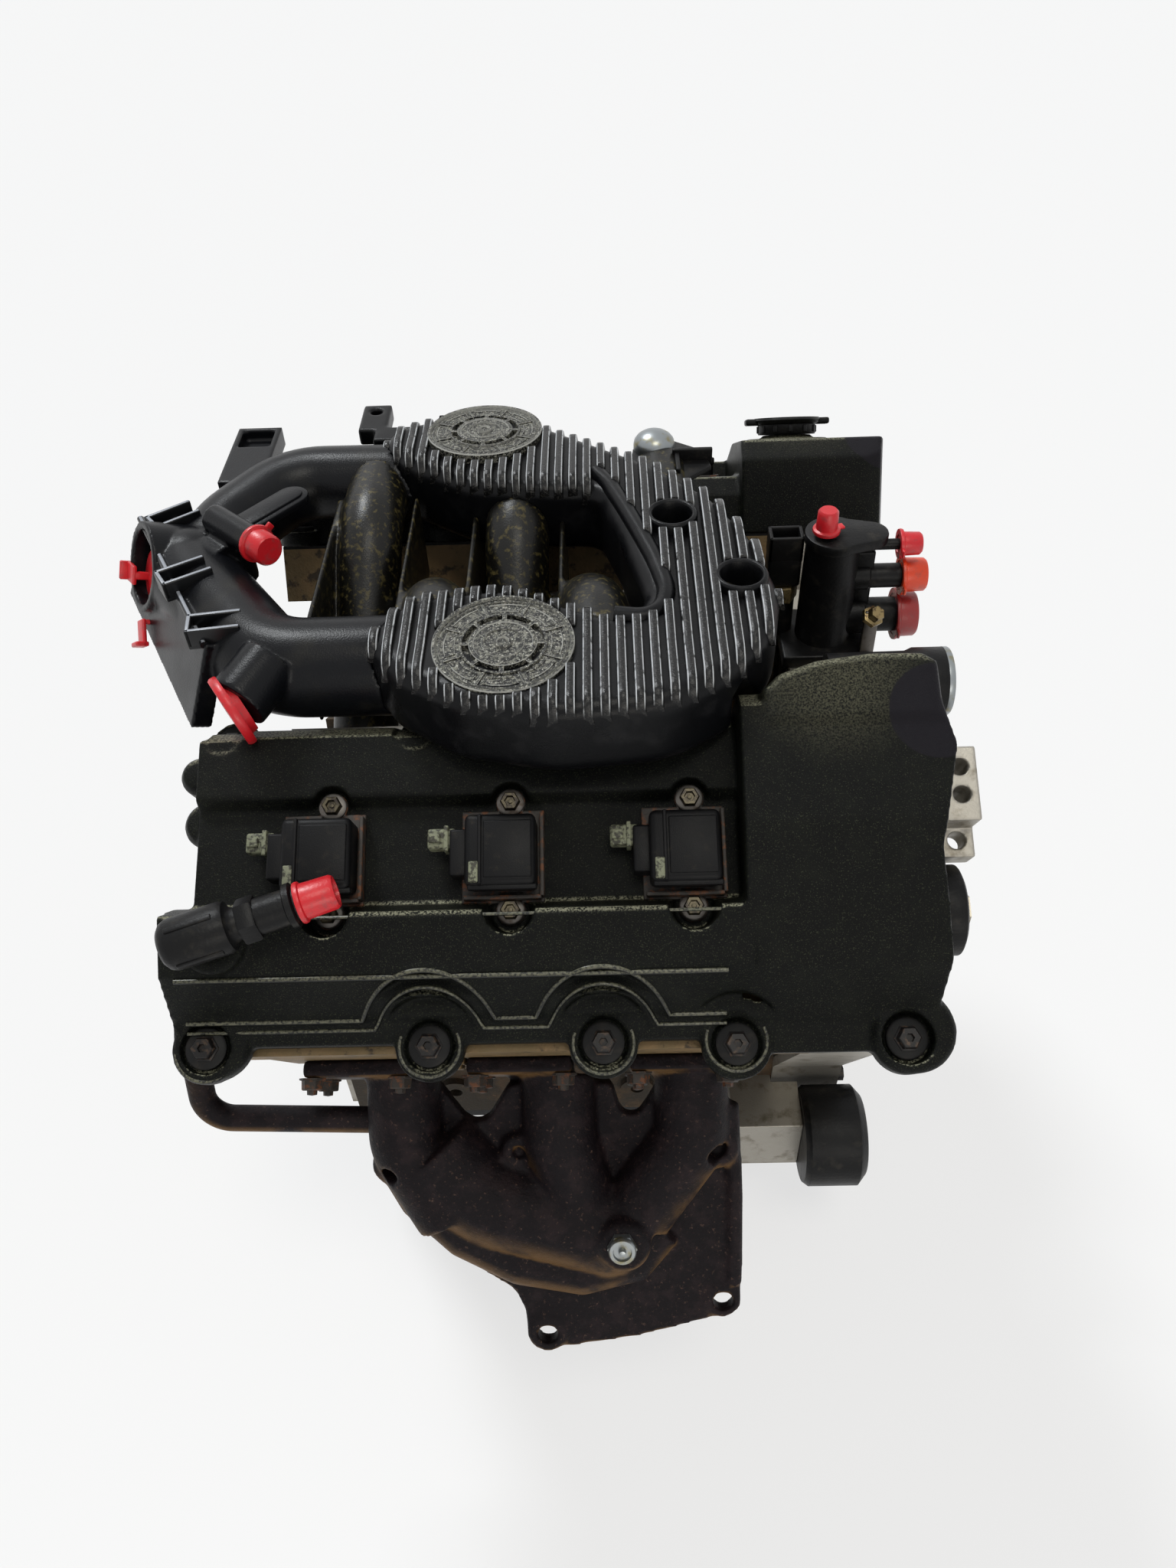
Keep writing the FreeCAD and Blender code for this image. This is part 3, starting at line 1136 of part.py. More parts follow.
def accessories():
    """The filter on the lower block, the front bracket, the breather on the near cover and its tube."""
    side = s.skirt_half_width
    foot = box("adapter_foot", 290, -side - 44, -72, s.block_length - 291, 44, 56)
    arm = box("adapter_arm", 310, -side - 44, -72, 32, 38, 56)
    node("oil_filter_adapter", fused("filter_adapter", foot, arm))
    profile = [(0, 0), (34, 0), (37, 4), (37, 40), (30, 46), (0, 46)]
    node("oil_filter", revolved("filter_can", profile, 342, -side - 38, -40, ALONG["x"]))
    front = s.timing_front
    foot = box("bracket_foot", front, 10, 300, 36, 52, 12)
    stand = box("bracket_stand", front + 14, 4, 300, 24, 60, 38)
    holes = [rod("bracket_hole_%d" % k, 5, 50, front + 28, out, 295, "z") for k, out in
             enumerate((14, 36, 52))]
    notch = box("bracket_notch", front + 12, -1, 318, 32, 22, 30)
    node("accessory_bracket", turned(cut("bracket", fused("bracket_blank", foot, stand), notch, *holes), NEAR))
    tube = pipe([(-14, -48, 404), (22, -37, 404), (70, -22, 404)], 10, 8)
    capsule = Part.makeCylinder(14, 40, V(-16, -49, 404), V(36, 11, 0))
    stem = Part.makeCylinder(7, 22, V(0, -44, s.band_up + 1), V(0, 0, 1))
    tail = Part.makeCylinder(11, 16, V(52, -27, 404), V(48, 15, 0))
    breather = feature("breather_shape", tube.multiFuse([capsule, stem, tail]))
    node("breather_valve", turned(breather, NEAR))


def build():
    cylinder_block()
    core_plugs()
    main_bearing_caps()
    crankshaft()
    sump()
    rear_seal_retainer()
    for side in (NEAR, FAR):
        cylinder_head(side)
        camshaft(side, -s.cam_spread, word(side) + "_intake_camshaft")
        camshaft(side, s.cam_spread, word(side) + "_exhaust_camshaft")
    exhausts()
    bearing_caps()
    plug_tubes()
    valve_covers()
    ignition_coils()
    sprockets()
    chains()
    timing_cover()
    plenum = plenum_solid()
    node("intake_plenum", feature("plenum_shape", plenum))
    intake_runners(plenum)
    lower_intake()
    node("throttle_duct", feature("duct_shape", duct_solid()))
    crank_pulley()
    idler_pulley()
    coolant_outlet()
    coolant_neck()
    oil_filler_cap()
    accessories()


def check_and_export():
    """Stops on any failed object or bad shape before a file is written."""
    DOC.recompute()
    for thing in DOC.Objects:
        if {"Invalid", "Error"} & set(thing.State):
            raise RuntimeError("failed object: " + thing.Label)
    for thing in NODES:
        if thing.Shape.isNull() or not thing.Shape.isValid():
            raise RuntimeError("bad shape: " + thing.Label)
    os.makedirs("parts", exist_ok=True)
    for thing in NODES:
        thing.Shape.exportStep("parts/%s.step" % thing.Label)
    print(len(NODES), "sub-parts")


build()
check_and_export()
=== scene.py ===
"""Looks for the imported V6 engine: camera, light, materials, and the moulded and cast pieces over the frame.

Everything is in the row frame. Sizes are written in millimetres and turned into metres by the helpers.
A bank point is X, the distance outboard of that bank's cylinder axes, and the height up them.
"""
import math

import bmesh
import bpy
from mathutils import Matrix, Quaternion, Vector
from mathutils.bvhtree import BVHTree


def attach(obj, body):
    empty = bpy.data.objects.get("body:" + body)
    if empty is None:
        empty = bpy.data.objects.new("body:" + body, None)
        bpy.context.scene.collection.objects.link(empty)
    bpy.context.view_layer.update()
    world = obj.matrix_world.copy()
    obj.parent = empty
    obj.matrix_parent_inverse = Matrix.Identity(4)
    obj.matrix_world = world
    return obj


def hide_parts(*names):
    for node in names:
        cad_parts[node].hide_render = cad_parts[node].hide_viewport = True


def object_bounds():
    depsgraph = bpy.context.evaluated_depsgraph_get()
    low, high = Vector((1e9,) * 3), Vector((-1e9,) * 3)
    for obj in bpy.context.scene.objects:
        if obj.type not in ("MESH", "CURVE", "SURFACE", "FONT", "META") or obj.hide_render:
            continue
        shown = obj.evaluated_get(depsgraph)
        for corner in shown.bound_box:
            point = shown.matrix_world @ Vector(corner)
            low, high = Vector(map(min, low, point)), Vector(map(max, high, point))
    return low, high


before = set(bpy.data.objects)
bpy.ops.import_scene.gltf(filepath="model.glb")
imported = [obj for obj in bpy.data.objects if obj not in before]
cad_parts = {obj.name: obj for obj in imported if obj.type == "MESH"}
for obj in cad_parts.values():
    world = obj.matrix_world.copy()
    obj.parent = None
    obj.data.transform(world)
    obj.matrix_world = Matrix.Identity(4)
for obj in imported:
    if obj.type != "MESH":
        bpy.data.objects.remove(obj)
CAD_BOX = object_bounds()

MM = 0.001
UP = (0, 0, 1)
NEAR, FAR = -1, 1
SIDES = {"near": NEAR, "far": FAR}
BANK_LEAN = 30
BANK_SHIFT = 24
BORE_X = (52, 148, 244)
PORT_OUT, PORT_UP = 110, 250
COIL_UP = 366
COIL_BOLT_X, COIL_BOLT_SPREAD = 4, 29.3
ENGINE = "engine"
FINE = 1.0


# Places

def mm(x, y, z):
    return Vector((x, y, z)) * MM


def bank_matrix(side, x=0, out=0, up=0):
    """The frame at a bank point: X along the crankshaft, Y outboard, Z up the cylinders, in metres."""
    lean = math.radians(BANK_LEAN)
    c, s = math.cos(lean), math.sin(lean)
    outward = Vector((0, side * c, -s))
    upward = Vector((0, side * s, c))
    origin = Vector((x, 0, 0)) * MM + outward * out * MM + upward * up * MM
    return Matrix((
        (1, 0, 0, origin.x),
        (0, outward.y, upward.y, origin.y),
        (0, outward.z, upward.z, origin.z),
        (0, 0, 0, 1),
    ))


def in_mm(matrix):
    """A metre matrix made to take millimetres."""
    return matrix @ Matrix.Scale(MM, 4)


def spot_at(x=0, y=0, z=0):
    """A point of the row frame, as a matrix that takes millimetres."""
    return in_mm(Matrix.Translation(mm(x, y, z)))


def bank_spot(side, x=0, out=0, up=0):
    """A bank point, as a matrix that takes millimetres."""
    return in_mm(bank_matrix(side, x, out, up))


def aim(start, direction, roll=0):
    """A matrix that takes millimetres, whose Z points along a direction from a point."""
    turn = Vector(direction).to_track_quat("Z", "Y") @ Quaternion((0, 0, 1), math.radians(roll))
    return in_mm(Matrix.Translation(mm(*start)) @ turn.to_matrix().to_4x4())


def turned(degrees, axis="Z"):
    return Matrix.Rotation(math.radians(degrees), 4, axis)


def bank_shift(side):
    """How much further along the crankshaft the far bank's cylinders lie."""
    return BANK_SHIFT if side == FAR else 0


def cylinder_x(side, index):
    return BORE_X[index] + bank_shift(side)


# Mesh makers, all in millimetres about their own origin

def add_box(form, size, centre=(0, 0, 0), bevel=0.0, matrix=None):
    """A box with rounded edges."""
    made = bmesh.ops.create_cube(form, size=1)["verts"]
    bmesh.ops.scale(form, vec=size, verts=made)
    bmesh.ops.translate(form, vec=centre, verts=made)
    if bevel:
        edges = {e for v in made for e in v.link_edges}
        out = bmesh.ops.bevel(form, geom=list(edges), offset=bevel, segments=3, profile=0.5, affect="EDGES")
        made = list(set(out["verts"]) | {v for v in made if v.is_valid})
        made = connected(made)
    if matrix:
        bmesh.ops.transform(form, matrix=matrix, verts=made)


def connected(verts):
    """Every vertex joined to these by edges."""
    seen, queue = set(verts), list(verts)
    while queue:
        for edge in queue.pop().link_edges:
            for v in edge.verts:
                if v not in seen:
                    seen.add(v)
                    queue.append(v)
    return list(seen)


def rod(low, high, radius, top=None):
    """The profile of a plain rod between two heights, or of a taper when its top has a radius of its own."""
    return [(0, low), (radius, low), (top or radius, high), (0, high)]


def add_lathe(form, profile, matrix=None, count=32):
    """A turned shape from (radius, height) pairs with so many sides, or a hexagon's prism when they are 6."""
    rings = []
    for radius, height in profile:
        if radius < 1e-4:
            rings.append([form.verts.new((0, 0, height))])
            continue
        rings.append([form.verts.new((radius * math.cos(2 * math.pi * k / count),
                                      radius * math.sin(2 * math.pi * k / count), height))
                      for k in range(count)])
    for low, high in zip(rings, rings[1:]):
        for k in range(count):
            j = (k + 1) % count
            if len(low) == 1 and len(high) == 1:
                continue
            if len(low) == 1:
                form.faces.new((low[0], high[j], high[k]))
            elif len(high) == 1:
                form.faces.new((low[k], low[j], high[0]))
            else:
                form.faces.new((low[k], low[j], high[j], high[k]))
    for ring, flip in ((rings[0], True), (rings[-1], False)):
        if len(ring) > 1 and profile[0] != profile[-1]:
            form.faces.new(list(reversed(ring)) if flip else ring)
    made = [v for ring in rings for v in ring]
    if profile[0] == profile[-1]:
        bmesh.ops.remove_doubles(form, verts=rings[0] + rings[-1], dist=1e-4)
        made = [v for v in made if v.is_valid]
    if matrix:
        bmesh.ops.transform(form, matrix=matrix, verts=made)


def add_tube(form, points, radius, matrix=None, sides=12, bend=0.0, closed=False):
    """A round bar through points, its corners eased by a smooth spline when bend is set."""
    path = smooth_path([Vector(p) for p in points], bend) if bend else [Vector(p) for p in points]
    rings = []
    last = len(path) - 1
    normal = None
    for i, point in enumerate(path):
        if closed:
            ahead = (path[(i + 1) % len(path)] - path[i - 1]).normalized()
        else:
            ahead = (path[min(i + 1, last)] - path[max(i - 1, 0)]).normalized()
        if normal is None:
            normal = ahead.orthogonal().normalized()
        normal = (normal - ahead * normal.dot(ahead)).normalized()
        side = ahead.cross(normal)
        size = radius[i] if isinstance(radius, (list, tuple)) else radius
        rings.append([form.verts.new(point + (normal * math.cos(2 * math.pi * k / sides)
                                              + side * math.sin(2 * math.pi * k / sides)) * size)
                      for k in range(sides)])
    pairs = list(zip(rings, rings[1:])) + ([(rings[-1], rings[0])] if closed else [])
    for low, high in pairs:
        for k in range(sides):
            j = (k + 1) % sides
            form.faces.new((low[k], low[j], high[j], high[k]))
    if not closed:
        form.faces.new(list(reversed(rings[0])))
        form.faces.new(rings[-1])
    if matrix:
        bmesh.ops.transform(form, matrix=matrix, verts=[v for ring in rings for v in ring])


def smooth_path(points, bend):
    """The same path with each inner corner replaced by a short quadratic curve."""
    path = [points[0]]
    for back, here, ahead in zip(points, points[1:], points[2:]):
        first = here + (back - here).normalized() * min(bend, (back - here).length * 0.45)
        last = here + (ahead - here).normalized() * min(bend, (ahead - here).length * 0.45)
        for k in range(7):
            t = k / 6
            path.append(first * (1 - t) ** 2 + here * 2 * t * (1 - t) + last * t * t)
    path.append(points[-1])
    return path


def add_plate(form, outline, low, high, matrix=None, bevel=0.0):
    """A flat outline between two heights, its rims rounded by the bevel."""
    bottom = [form.verts.new((x, y, low)) for x, y in outline]
    top = [form.verts.new((x, y, high)) for x, y in outline]
    count = len(outline)
    faces = [form.faces.new(list(reversed(bottom))), form.faces.new(top)]
    for k in range(count):
        j = (k + 1) % count
        faces.append(form.faces.new((bottom[k], bottom[j], top[j], top[k])))
    bmesh.ops.recalc_face_normals(form, faces=faces)
    made = bottom + top
    if bevel:
        rims = [e for f in faces[:2] for e in f.edges]
        out = bmesh.ops.bevel(form, geom=rims, offset=bevel, segments=2, profile=0.5, affect="EDGES")
        made = connected([v for v in out["verts"] if v.is_valid])
    if matrix:
        bmesh.ops.transform(form, matrix=matrix, verts=made)


def circle(radius, count=32, x=0, y=0, start=0, sweep=360):
    """Points round a circle or an arc."""
    full = sweep == 360
    steps = count if full else count - 1
    return [(x + radius * math.cos(math.radians(start + sweep * k / steps)),
             y + radius * math.sin(math.radians(start + sweep * k / steps))) for k in range(count)]


# Objects

def to_object(name, form):
    """A mesh object in metres from a form already in metres."""
    mesh = bpy.data.meshes.new(name)
    bmesh.ops.recalc_face_normals(form, faces=form.faces)
    form.to_mesh(mesh)
    form.free()
    obj = bpy.data.objects.new(name, mesh)
    bpy.context.scene.collection.objects.link(obj)
    return obj


def dress(obj, look, body=ENGINE, smooth=40):
    """Gives a piece its material and body, and smooth shading up to an angle."""
    obj.data.materials.clear()
    obj.data.materials.append(look)
    obj.data.shade_smooth()
    obj.data.set_sharp_from_angle(angle=math.radians(smooth))
    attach(obj, body)
    return obj


def piece(name, form, look, body=ENGINE, smooth=40):
    return dress(to_object(name, form), look, body, smooth)


def baked(obj):
    """Applies an object's modifiers to its mesh."""
    graph = bpy.context.evaluated_depsgraph_get()
    mesh = bpy.data.meshes.new_from_object(obj.evaluated_get(graph))
    old = obj.data
    obj.modifiers.clear()
    obj.data = mesh
    bpy.data.meshes.remove(old)
    return obj


def moulded(name, nodes, look, voxel, easing=3, extra=None, carve=None, keep=0.5):
    """A cast or moulded piece: the CAD solids with forms melted on, holes carved and edges eased."""
    form = bmesh.new()
    for node in nodes:
        form.from_mesh(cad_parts[node].data)
    if extra:
        extra(form)
    obj = to_object(name, form)
    skin(obj, voxel)
    if carve:
        tool = bmesh.new()
        carve(tool)
        cutter = to_object(name + "_cutter", tool)
        cutting = obj.modifiers.new("carve", "BOOLEAN")
        cutting.operation = "DIFFERENCE"
        cutting.solver = "MANIFOLD"
        cutting.object = cutter
        baked(obj)
        bpy.data.objects.remove(cutter)
        skin(obj, voxel)
    soften(obj, easing, keep)
    dress(obj, look, smooth=60)
    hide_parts(*nodes)


def skin(obj, voxel):
    """Melts an object's solids into one closed skin."""
    remesh = obj.modifiers.new("skin", "REMESH")
    remesh.mode = "VOXEL"
    remesh.voxel_size = voxel * MM / FINE
    baked(obj)


def soften(obj, easing, keep):
    """Eases a skin's edges and thins its mesh out."""
    ease = obj.modifiers.new("ease", "SMOOTH")
    ease.factor = 0.5
    ease.iterations = easing
    fewer = obj.modifiers.new("fewer", "DECIMATE")
    fewer.ratio = keep
    baked(obj)


# Materials

class Look:
    """A procedural material under construction, in the object's own coordinates, in metres."""

    def __init__(self, name, colour, roughness, metallic=0.0, specular=0.5):
        self.material = bpy.data.materials.new(name)
        self.material.use_nodes = True
        self.tree = self.material.node_tree
        self.shader = self.tree.nodes["Principled BSDF"]
        self.place = self.tree.nodes.new("ShaderNodeTexCoord").outputs["Object"]
        self.height = None
        self.colour = colour
        for socket, value in (("Base Color", colour), ("Roughness", roughness), ("Metallic", metallic),
                              ("Specular IOR Level", specular)):
            self.set(socket, value)

    def add(self, kind, **inputs):
        node = self.tree.nodes.new(kind)
        for name, value in inputs.items():
            self.wire(node.inputs[name], value)
        return node

    def wire(self, socket, value):
        if isinstance(value, bpy.types.NodeSocket):
            self.tree.links.new(value, socket)
        elif isinstance(value, tuple) and len(value) == 3 and socket.type == "RGBA":
            socket.default_value = (*value, 1)
        else:
            socket.default_value = value

    def set(self, name, value):
        self.wire(self.shader.inputs[name], value)

    def noise(self, scale, detail=4.0, roughness=0.55):
        node = self.add("ShaderNodeTexNoise", Scale=scale, Detail=detail, Roughness=roughness,
                        Vector=self.place)
        return node.outputs["Fac"]

    def band(self, value, low, high):
        """0 below low, 1 above high, smooth between."""
        node = self.tree.nodes.new("ShaderNodeMapRange")
        node.interpolation_type = "SMOOTHSTEP"
        self.wire(node.inputs["Value"], value)
        node.inputs["From Min"].default_value = low
        node.inputs["From Max"].default_value = high
        return node.outputs["Result"]

    def calc(self, operation, a, b=0.0):
        node = self.tree.nodes.new("ShaderNodeMath")
        node.operation = operation
        self.wire(node.inputs[0], a)
        self.wire(node.inputs[1], b)
        return node.outputs["Value"]

    def product(self, first, *others):
        for other in others:
            first = self.calc("MULTIPLY", first, other)
        return first

    def rest(self, share):
        """What a share leaves of 1."""
        return self.calc("SUBTRACT", 1.0, share)

    def paint(self, share, colour):
        """Lays another colour over the one so far."""
        node = self.tree.nodes.new("ShaderNodeMix")
        node.data_type = "RGBA"
        self.wire(node.inputs[0], share)
        self.wire(node.inputs[6], self.colour)
        self.wire(node.inputs[7], colour)
        self.colour = node.outputs[2]
        self.set("Base Color", self.colour)

    def patch(self, colour, start, full, *noise):
        """Lays a colour on in patches, from none where a noise is at start to all where it is full."""
        self.paint(self.band(self.noise(*noise), start, full), colour)

    def facing(self, axis):
        """How much the surface faces along an axis of the row frame, from -1 to 1."""
        normal = self.tree.nodes.new("ShaderNodeNewGeometry").outputs["Normal"]
        node = self.tree.nodes.new("ShaderNodeVectorMath")
        node.operation = "DOT_PRODUCT"
        self.wire(node.inputs[0], normal)
        node.inputs[1].default_value = axis
        return node.outputs["Value"]

    def round_spot(self, centre, full, none):
        """1 nearer than full to a point of the row frame, 0 further than none, both in metres."""
        node = self.tree.nodes.new("ShaderNodeVectorMath")
        node.operation = "DISTANCE"
        self.wire(node.inputs[0], self.place)
        node.inputs[1].default_value = centre
        return self.rest(self.band(node.outputs["Value"], full, none))

    def coordinate(self, axis):
        node = self.add("ShaderNodeSeparateXYZ", Vector=self.place)
        return node.outputs[axis]

    def rise(self, height, distance):
        """Adds a height in metres per unit to the bump."""
        scaled = self.calc("MULTIPLY", height, distance)
        self.height = self.calc("ADD", self.height, scaled) if self.height else scaled

    def gloss(self, share, low, high):
        """Roughness from low to high by a share."""
        node = self.tree.nodes.new("ShaderNodeMapRange")
        self.wire(node.inputs["Value"], share)
        node.inputs["To Min"].default_value = low
        node.inputs["To Max"].default_value = high
        self.set("Roughness", node.outputs["Result"])

    def done(self):
        if self.height:
            bump = self.add("ShaderNodeBump", Strength=1.0, Distance=1.0, Height=self.height)
            self.set("Normal", bump.outputs["Normal"])
        return self.material


def mottled(name, colour, roughness, patches, gloss=None, grain=None, **surface):
    """A material with patches of other colours, and with a gloss and a fine bump that vary.

    A patch is its colour, the noise values where it starts and where it is full, and its noise. A gloss is
    its lowest and highest roughness and its noise. A grain is its height in metres and its noise. A noise
    is a scale, a detail and, where it isn't the usual one, a roughness.
    """
    look = Look(name, colour, roughness, **surface)
    for patch in patches:
        look.patch(*patch)
    if gloss:
        low, high, *noise = gloss
        look.gloss(look.noise(*noise), low, high)
    if grain:
        height, *noise = grain
        look.rise(look.noise(*noise), height)
    return look.done()


def rib_black():
    """Ribs with a fine dusting, and a bright line along both edges of the top of each rib where it faces up:
    partly wear, partly a painted highlight.
    """
    look = Look("rib_black", (0.0042, 0.0042, 0.0046), 0.22, specular=0.26)
    look.patch((0.035, 0.034, 0.032), 0.5, 0.66, 700, 4, 0.7)
    along = look.calc("SUBTRACT", look.coordinate(0), (RIB_FIRST - RIB_PITCH / 2) * MM)
    phase = look.calc("FRACT", look.calc("MULTIPLY", along, 1 / (RIB_PITCH * MM)))
    across = look.calc("ABSOLUTE", look.calc("SUBTRACT", phase, 0.5))
    inner = look.band(across, 0.19, 0.22)
    outer = look.rest(look.band(across, 0.27, 0.3))
    wear_and_highlight = look.band(look.noise(160, 5, 0.6), 0.3, 0.5)
    up = look.band(look.facing(UP), 0.15, 0.6)
    # painted highlight, partly wear: a pale line along both edges of each rib, only where they face up
    look.paint(look.product(inner, outer, wear_and_highlight, up), (0.62, 0.64, 0.66))
    look.gloss(look.noise(90, 5), 0.16, 0.34)
    look.rise(look.noise(900, 4, 0.6), 0.0002)
    return look.done()


def disc_black():
    """The discs' black, lightened by wear in flecks, and with a painted highlight on the faces that lean."""
    look = Look("disc_black", (0.004, 0.004, 0.004), 0.28, specular=0.26)
    look.patch((0.2, 0.196, 0.16), 0.5, 0.57, 480, 5, 0.75)
    look.patch((0.6, 0.59, 0.52), 0.57, 0.64, 900, 3, 0.7)
    # painted highlight: a pale colour on the faces that lean between flat and upright, such as the rims of
    # the rings
    below_flat = look.band(look.facing(UP), 0.94, 0.8)
    above_wall = look.band(look.facing(UP), 0.2, 0.5)
    look.paint(look.product(below_flat, above_wall), (0.45, 0.45, 0.42))
    look.gloss(look.noise(200, 5), 0.22, 0.45)
    look.rise(look.noise(900, 5, 0.7), 0.0004)
    return look.done()


COVER_TOP = 398
PAINTED_SHEEN_SPOTS = ((NEAR, 325, -92), (FAR, 345, -30))
COVER_SHADES = ((NEAR, 377, -66), (FAR, 396, -66))


def cover_crackle():
    """Wrinkle paint with a painted highlight in grainy patches where it faces up, painted glints in fine
    flecks all over, a painted sheen and a dull round patch on the tall parts.
    """
    look = Look("cover_crackle", (0.0026, 0.003, 0.0027), 0.36, specular=0.08)
    look.patch((0.0052, 0.006, 0.0046), 0.45, 0.75, 60, 5)
    # painted glints: fine light flecks all over the wrinkle paint
    look.patch((0.03, 0.033, 0.02), 0.58, 0.66, 1300, 3, 0.6)
    # painted highlight on the faces turned up, broken up by a fine noise
    crest_highlight = look.band(look.facing((-0.05, 0.15, 1)), 0.86, 1.0)
    grain = look.band(look.noise(900, 3, 0.6), 0.4, 0.6)
    look.paint(look.product(crest_highlight, grain), (0.26, 0.255, 0.18))
    # painted sheen: a paler round spot on each tall part, broken up by noise
    for side, x, out in PAINTED_SHEEN_SPOTS:
        glow = look.round_spot(bank_matrix(side, x, out, COVER_TOP).to_translation(), 0.012, 0.06)
        grain = look.band(look.noise(1000, 3, 0.6), 0.36, 0.66)
        look.paint(look.product(glow, grain, 0.8), (0.095, 0.092, 0.06))
    for side, x, out in COVER_SHADES:
        shade = look.round_spot(bank_matrix(side, x, out, COVER_TOP).to_translation(), 0.025, 0.0262)
        look.paint(shade, (0.009, 0.008, 0.011))
    look.gloss(look.noise(45, 5), 0.26, 0.44)
    look.rise(look.noise(1300, 4, 0.65), 0.0004)
    return look.done()


def cover_bead():
    """The beads' black, with a painted highlight in patches where it faces up along either bank's slope."""
    look = Look("cover_bead", (0.006, 0.0065, 0.0055), 0.3, specular=0.3)
    for lean in (-0.55, 0.55):
        # painted highlight on the upper side of each bead, broken up by noise
        lit = look.band(look.facing((0, lean, 0.83)), 0.55, 0.95)
        blotches = look.band(look.noise(700, 3, 0.6), 0.36, 0.6)
        look.paint(look.product(lit, blotches), (0.12, 0.118, 0.08))
    return look.done()


def manifold_iron():
    """Dark speckled iron, rusty where it faces down."""
    look = Look("manifold_iron", (0.0062, 0.0044, 0.0056), 0.5, specular=0.1)
    look.patch((0.015, 0.0098, 0.0112), 0.46, 0.64, 75, 6, 0.65)
    look.patch((0.085, 0.052, 0.042), 0.58, 0.7, 420, 6, 0.7)
    down = look.band(look.facing((0, -0.35, -0.93)), -0.12, 0.45)
    rust = look.band(look.noise(26, 6, 0.6), 0.36, 0.56)
    look.paint(look.product(down, rust), (0.12, 0.066, 0.026))
    look.rise(look.noise(420, 6, 0.7), 0.0006)
    look.rise(look.noise(140, 4), 0.0008)
    return look.done()


def clip_black():
    """Black plastic with a painted highlight on its level faces."""
    look = Look("clip_black", (0.006, 0.0065, 0.0075), 0.3, specular=0.3)
    # painted highlight on the faces that point up
    look.paint(look.band(look.facing(UP), 0.86, 0.96), (0.34, 0.36, 0.4))
    return look.done()


def cap_plastic(name, colour):
    """The soft plastic of a shipping cap, dusted with a paler shade of itself."""
    blotches = tuple(0.6 * channel + 0.03 for channel in colour)
    return mottled(name, colour, 0.35, [(blotches, 0.5, 0.75, 180, 5)], gloss=(0.28, 0.45, 120, 4),
                   grain=(0.00012, 700, 3))


def plastic_looks():
    """The plain plastics, paints, rubber and ceramic."""
    return {
        "plenum": mottled("plenum_black", (0.0036, 0.0038, 0.0046), 0.26,
                          [((0.011, 0.011, 0.012), 0.5, 0.75, 60, 5)],
                          gloss=(0.2, 0.4, 35, 6), grain=(0.00012, 1400, 3), specular=0.14),
        "duct": mottled("duct_black", (0.0036, 0.004, 0.0054), 0.26,
                        [((0.012, 0.0115, 0.01), 0.5, 0.8, 45, 5)],
                        gloss=(0.22, 0.42, 30, 6), grain=(0.00012, 900, 3), specular=0.16),
        "runner": mottled("runner_black", (0.0045, 0.0042, 0.0032), 0.27,
                          [((0.075, 0.06, 0.022), 0.52, 0.68, 260, 4)],
                          gloss=(0.25, 0.45, 50, 6), grain=(0.00012, 900, 3), specular=0.26),
        "coil": mottled("coil_black", (0.0045, 0.0045, 0.005), 0.38,
                        [((0.018, 0.016, 0.013), 0.55, 0.8, 160, 5)],
                        gloss=(0.32, 0.55, 80, 4), grain=(0.0001, 1500, 3), specular=0.12),
        "grime": mottled("grime_green", (0.2, 0.21, 0.14), 0.5,
                         [((0.035, 0.034, 0.024), 0.46, 0.6, 420, 5)], grain=(0.0003, 700, 5), specular=0.3),
        "black_paint": mottled("black_paint", (0.0045, 0.0045, 0.0048), 0.3,
                               [((0.02, 0.018, 0.015), 0.52, 0.76, 110, 5, 0.6)],
                               gloss=(0.3, 0.55, 60, 5), grain=(0.0002, 500, 4), specular=0.16),
        "gasket": mottled("gasket_rubber", (0.008, 0.008, 0.008), 0.5,
                          [((0.018, 0.016, 0.014), 0.5, 0.75, 150, 4)], specular=0.15),
        "ceramic": mottled("ceramic_white", (0.75, 0.74, 0.7), 0.3,
                           [((0.45, 0.4, 0.33), 0.55, 0.8, 150, 4)]),
        "red_cap": cap_plastic("red_cap", (0.62, 0.012, 0.02)),
        "orange_cap": cap_plastic("orange_cap", (0.72, 0.055, 0.012)),
        "dark_red_cap": cap_plastic("dark_red_cap", (0.3, 0.02, 0.02)),
    }


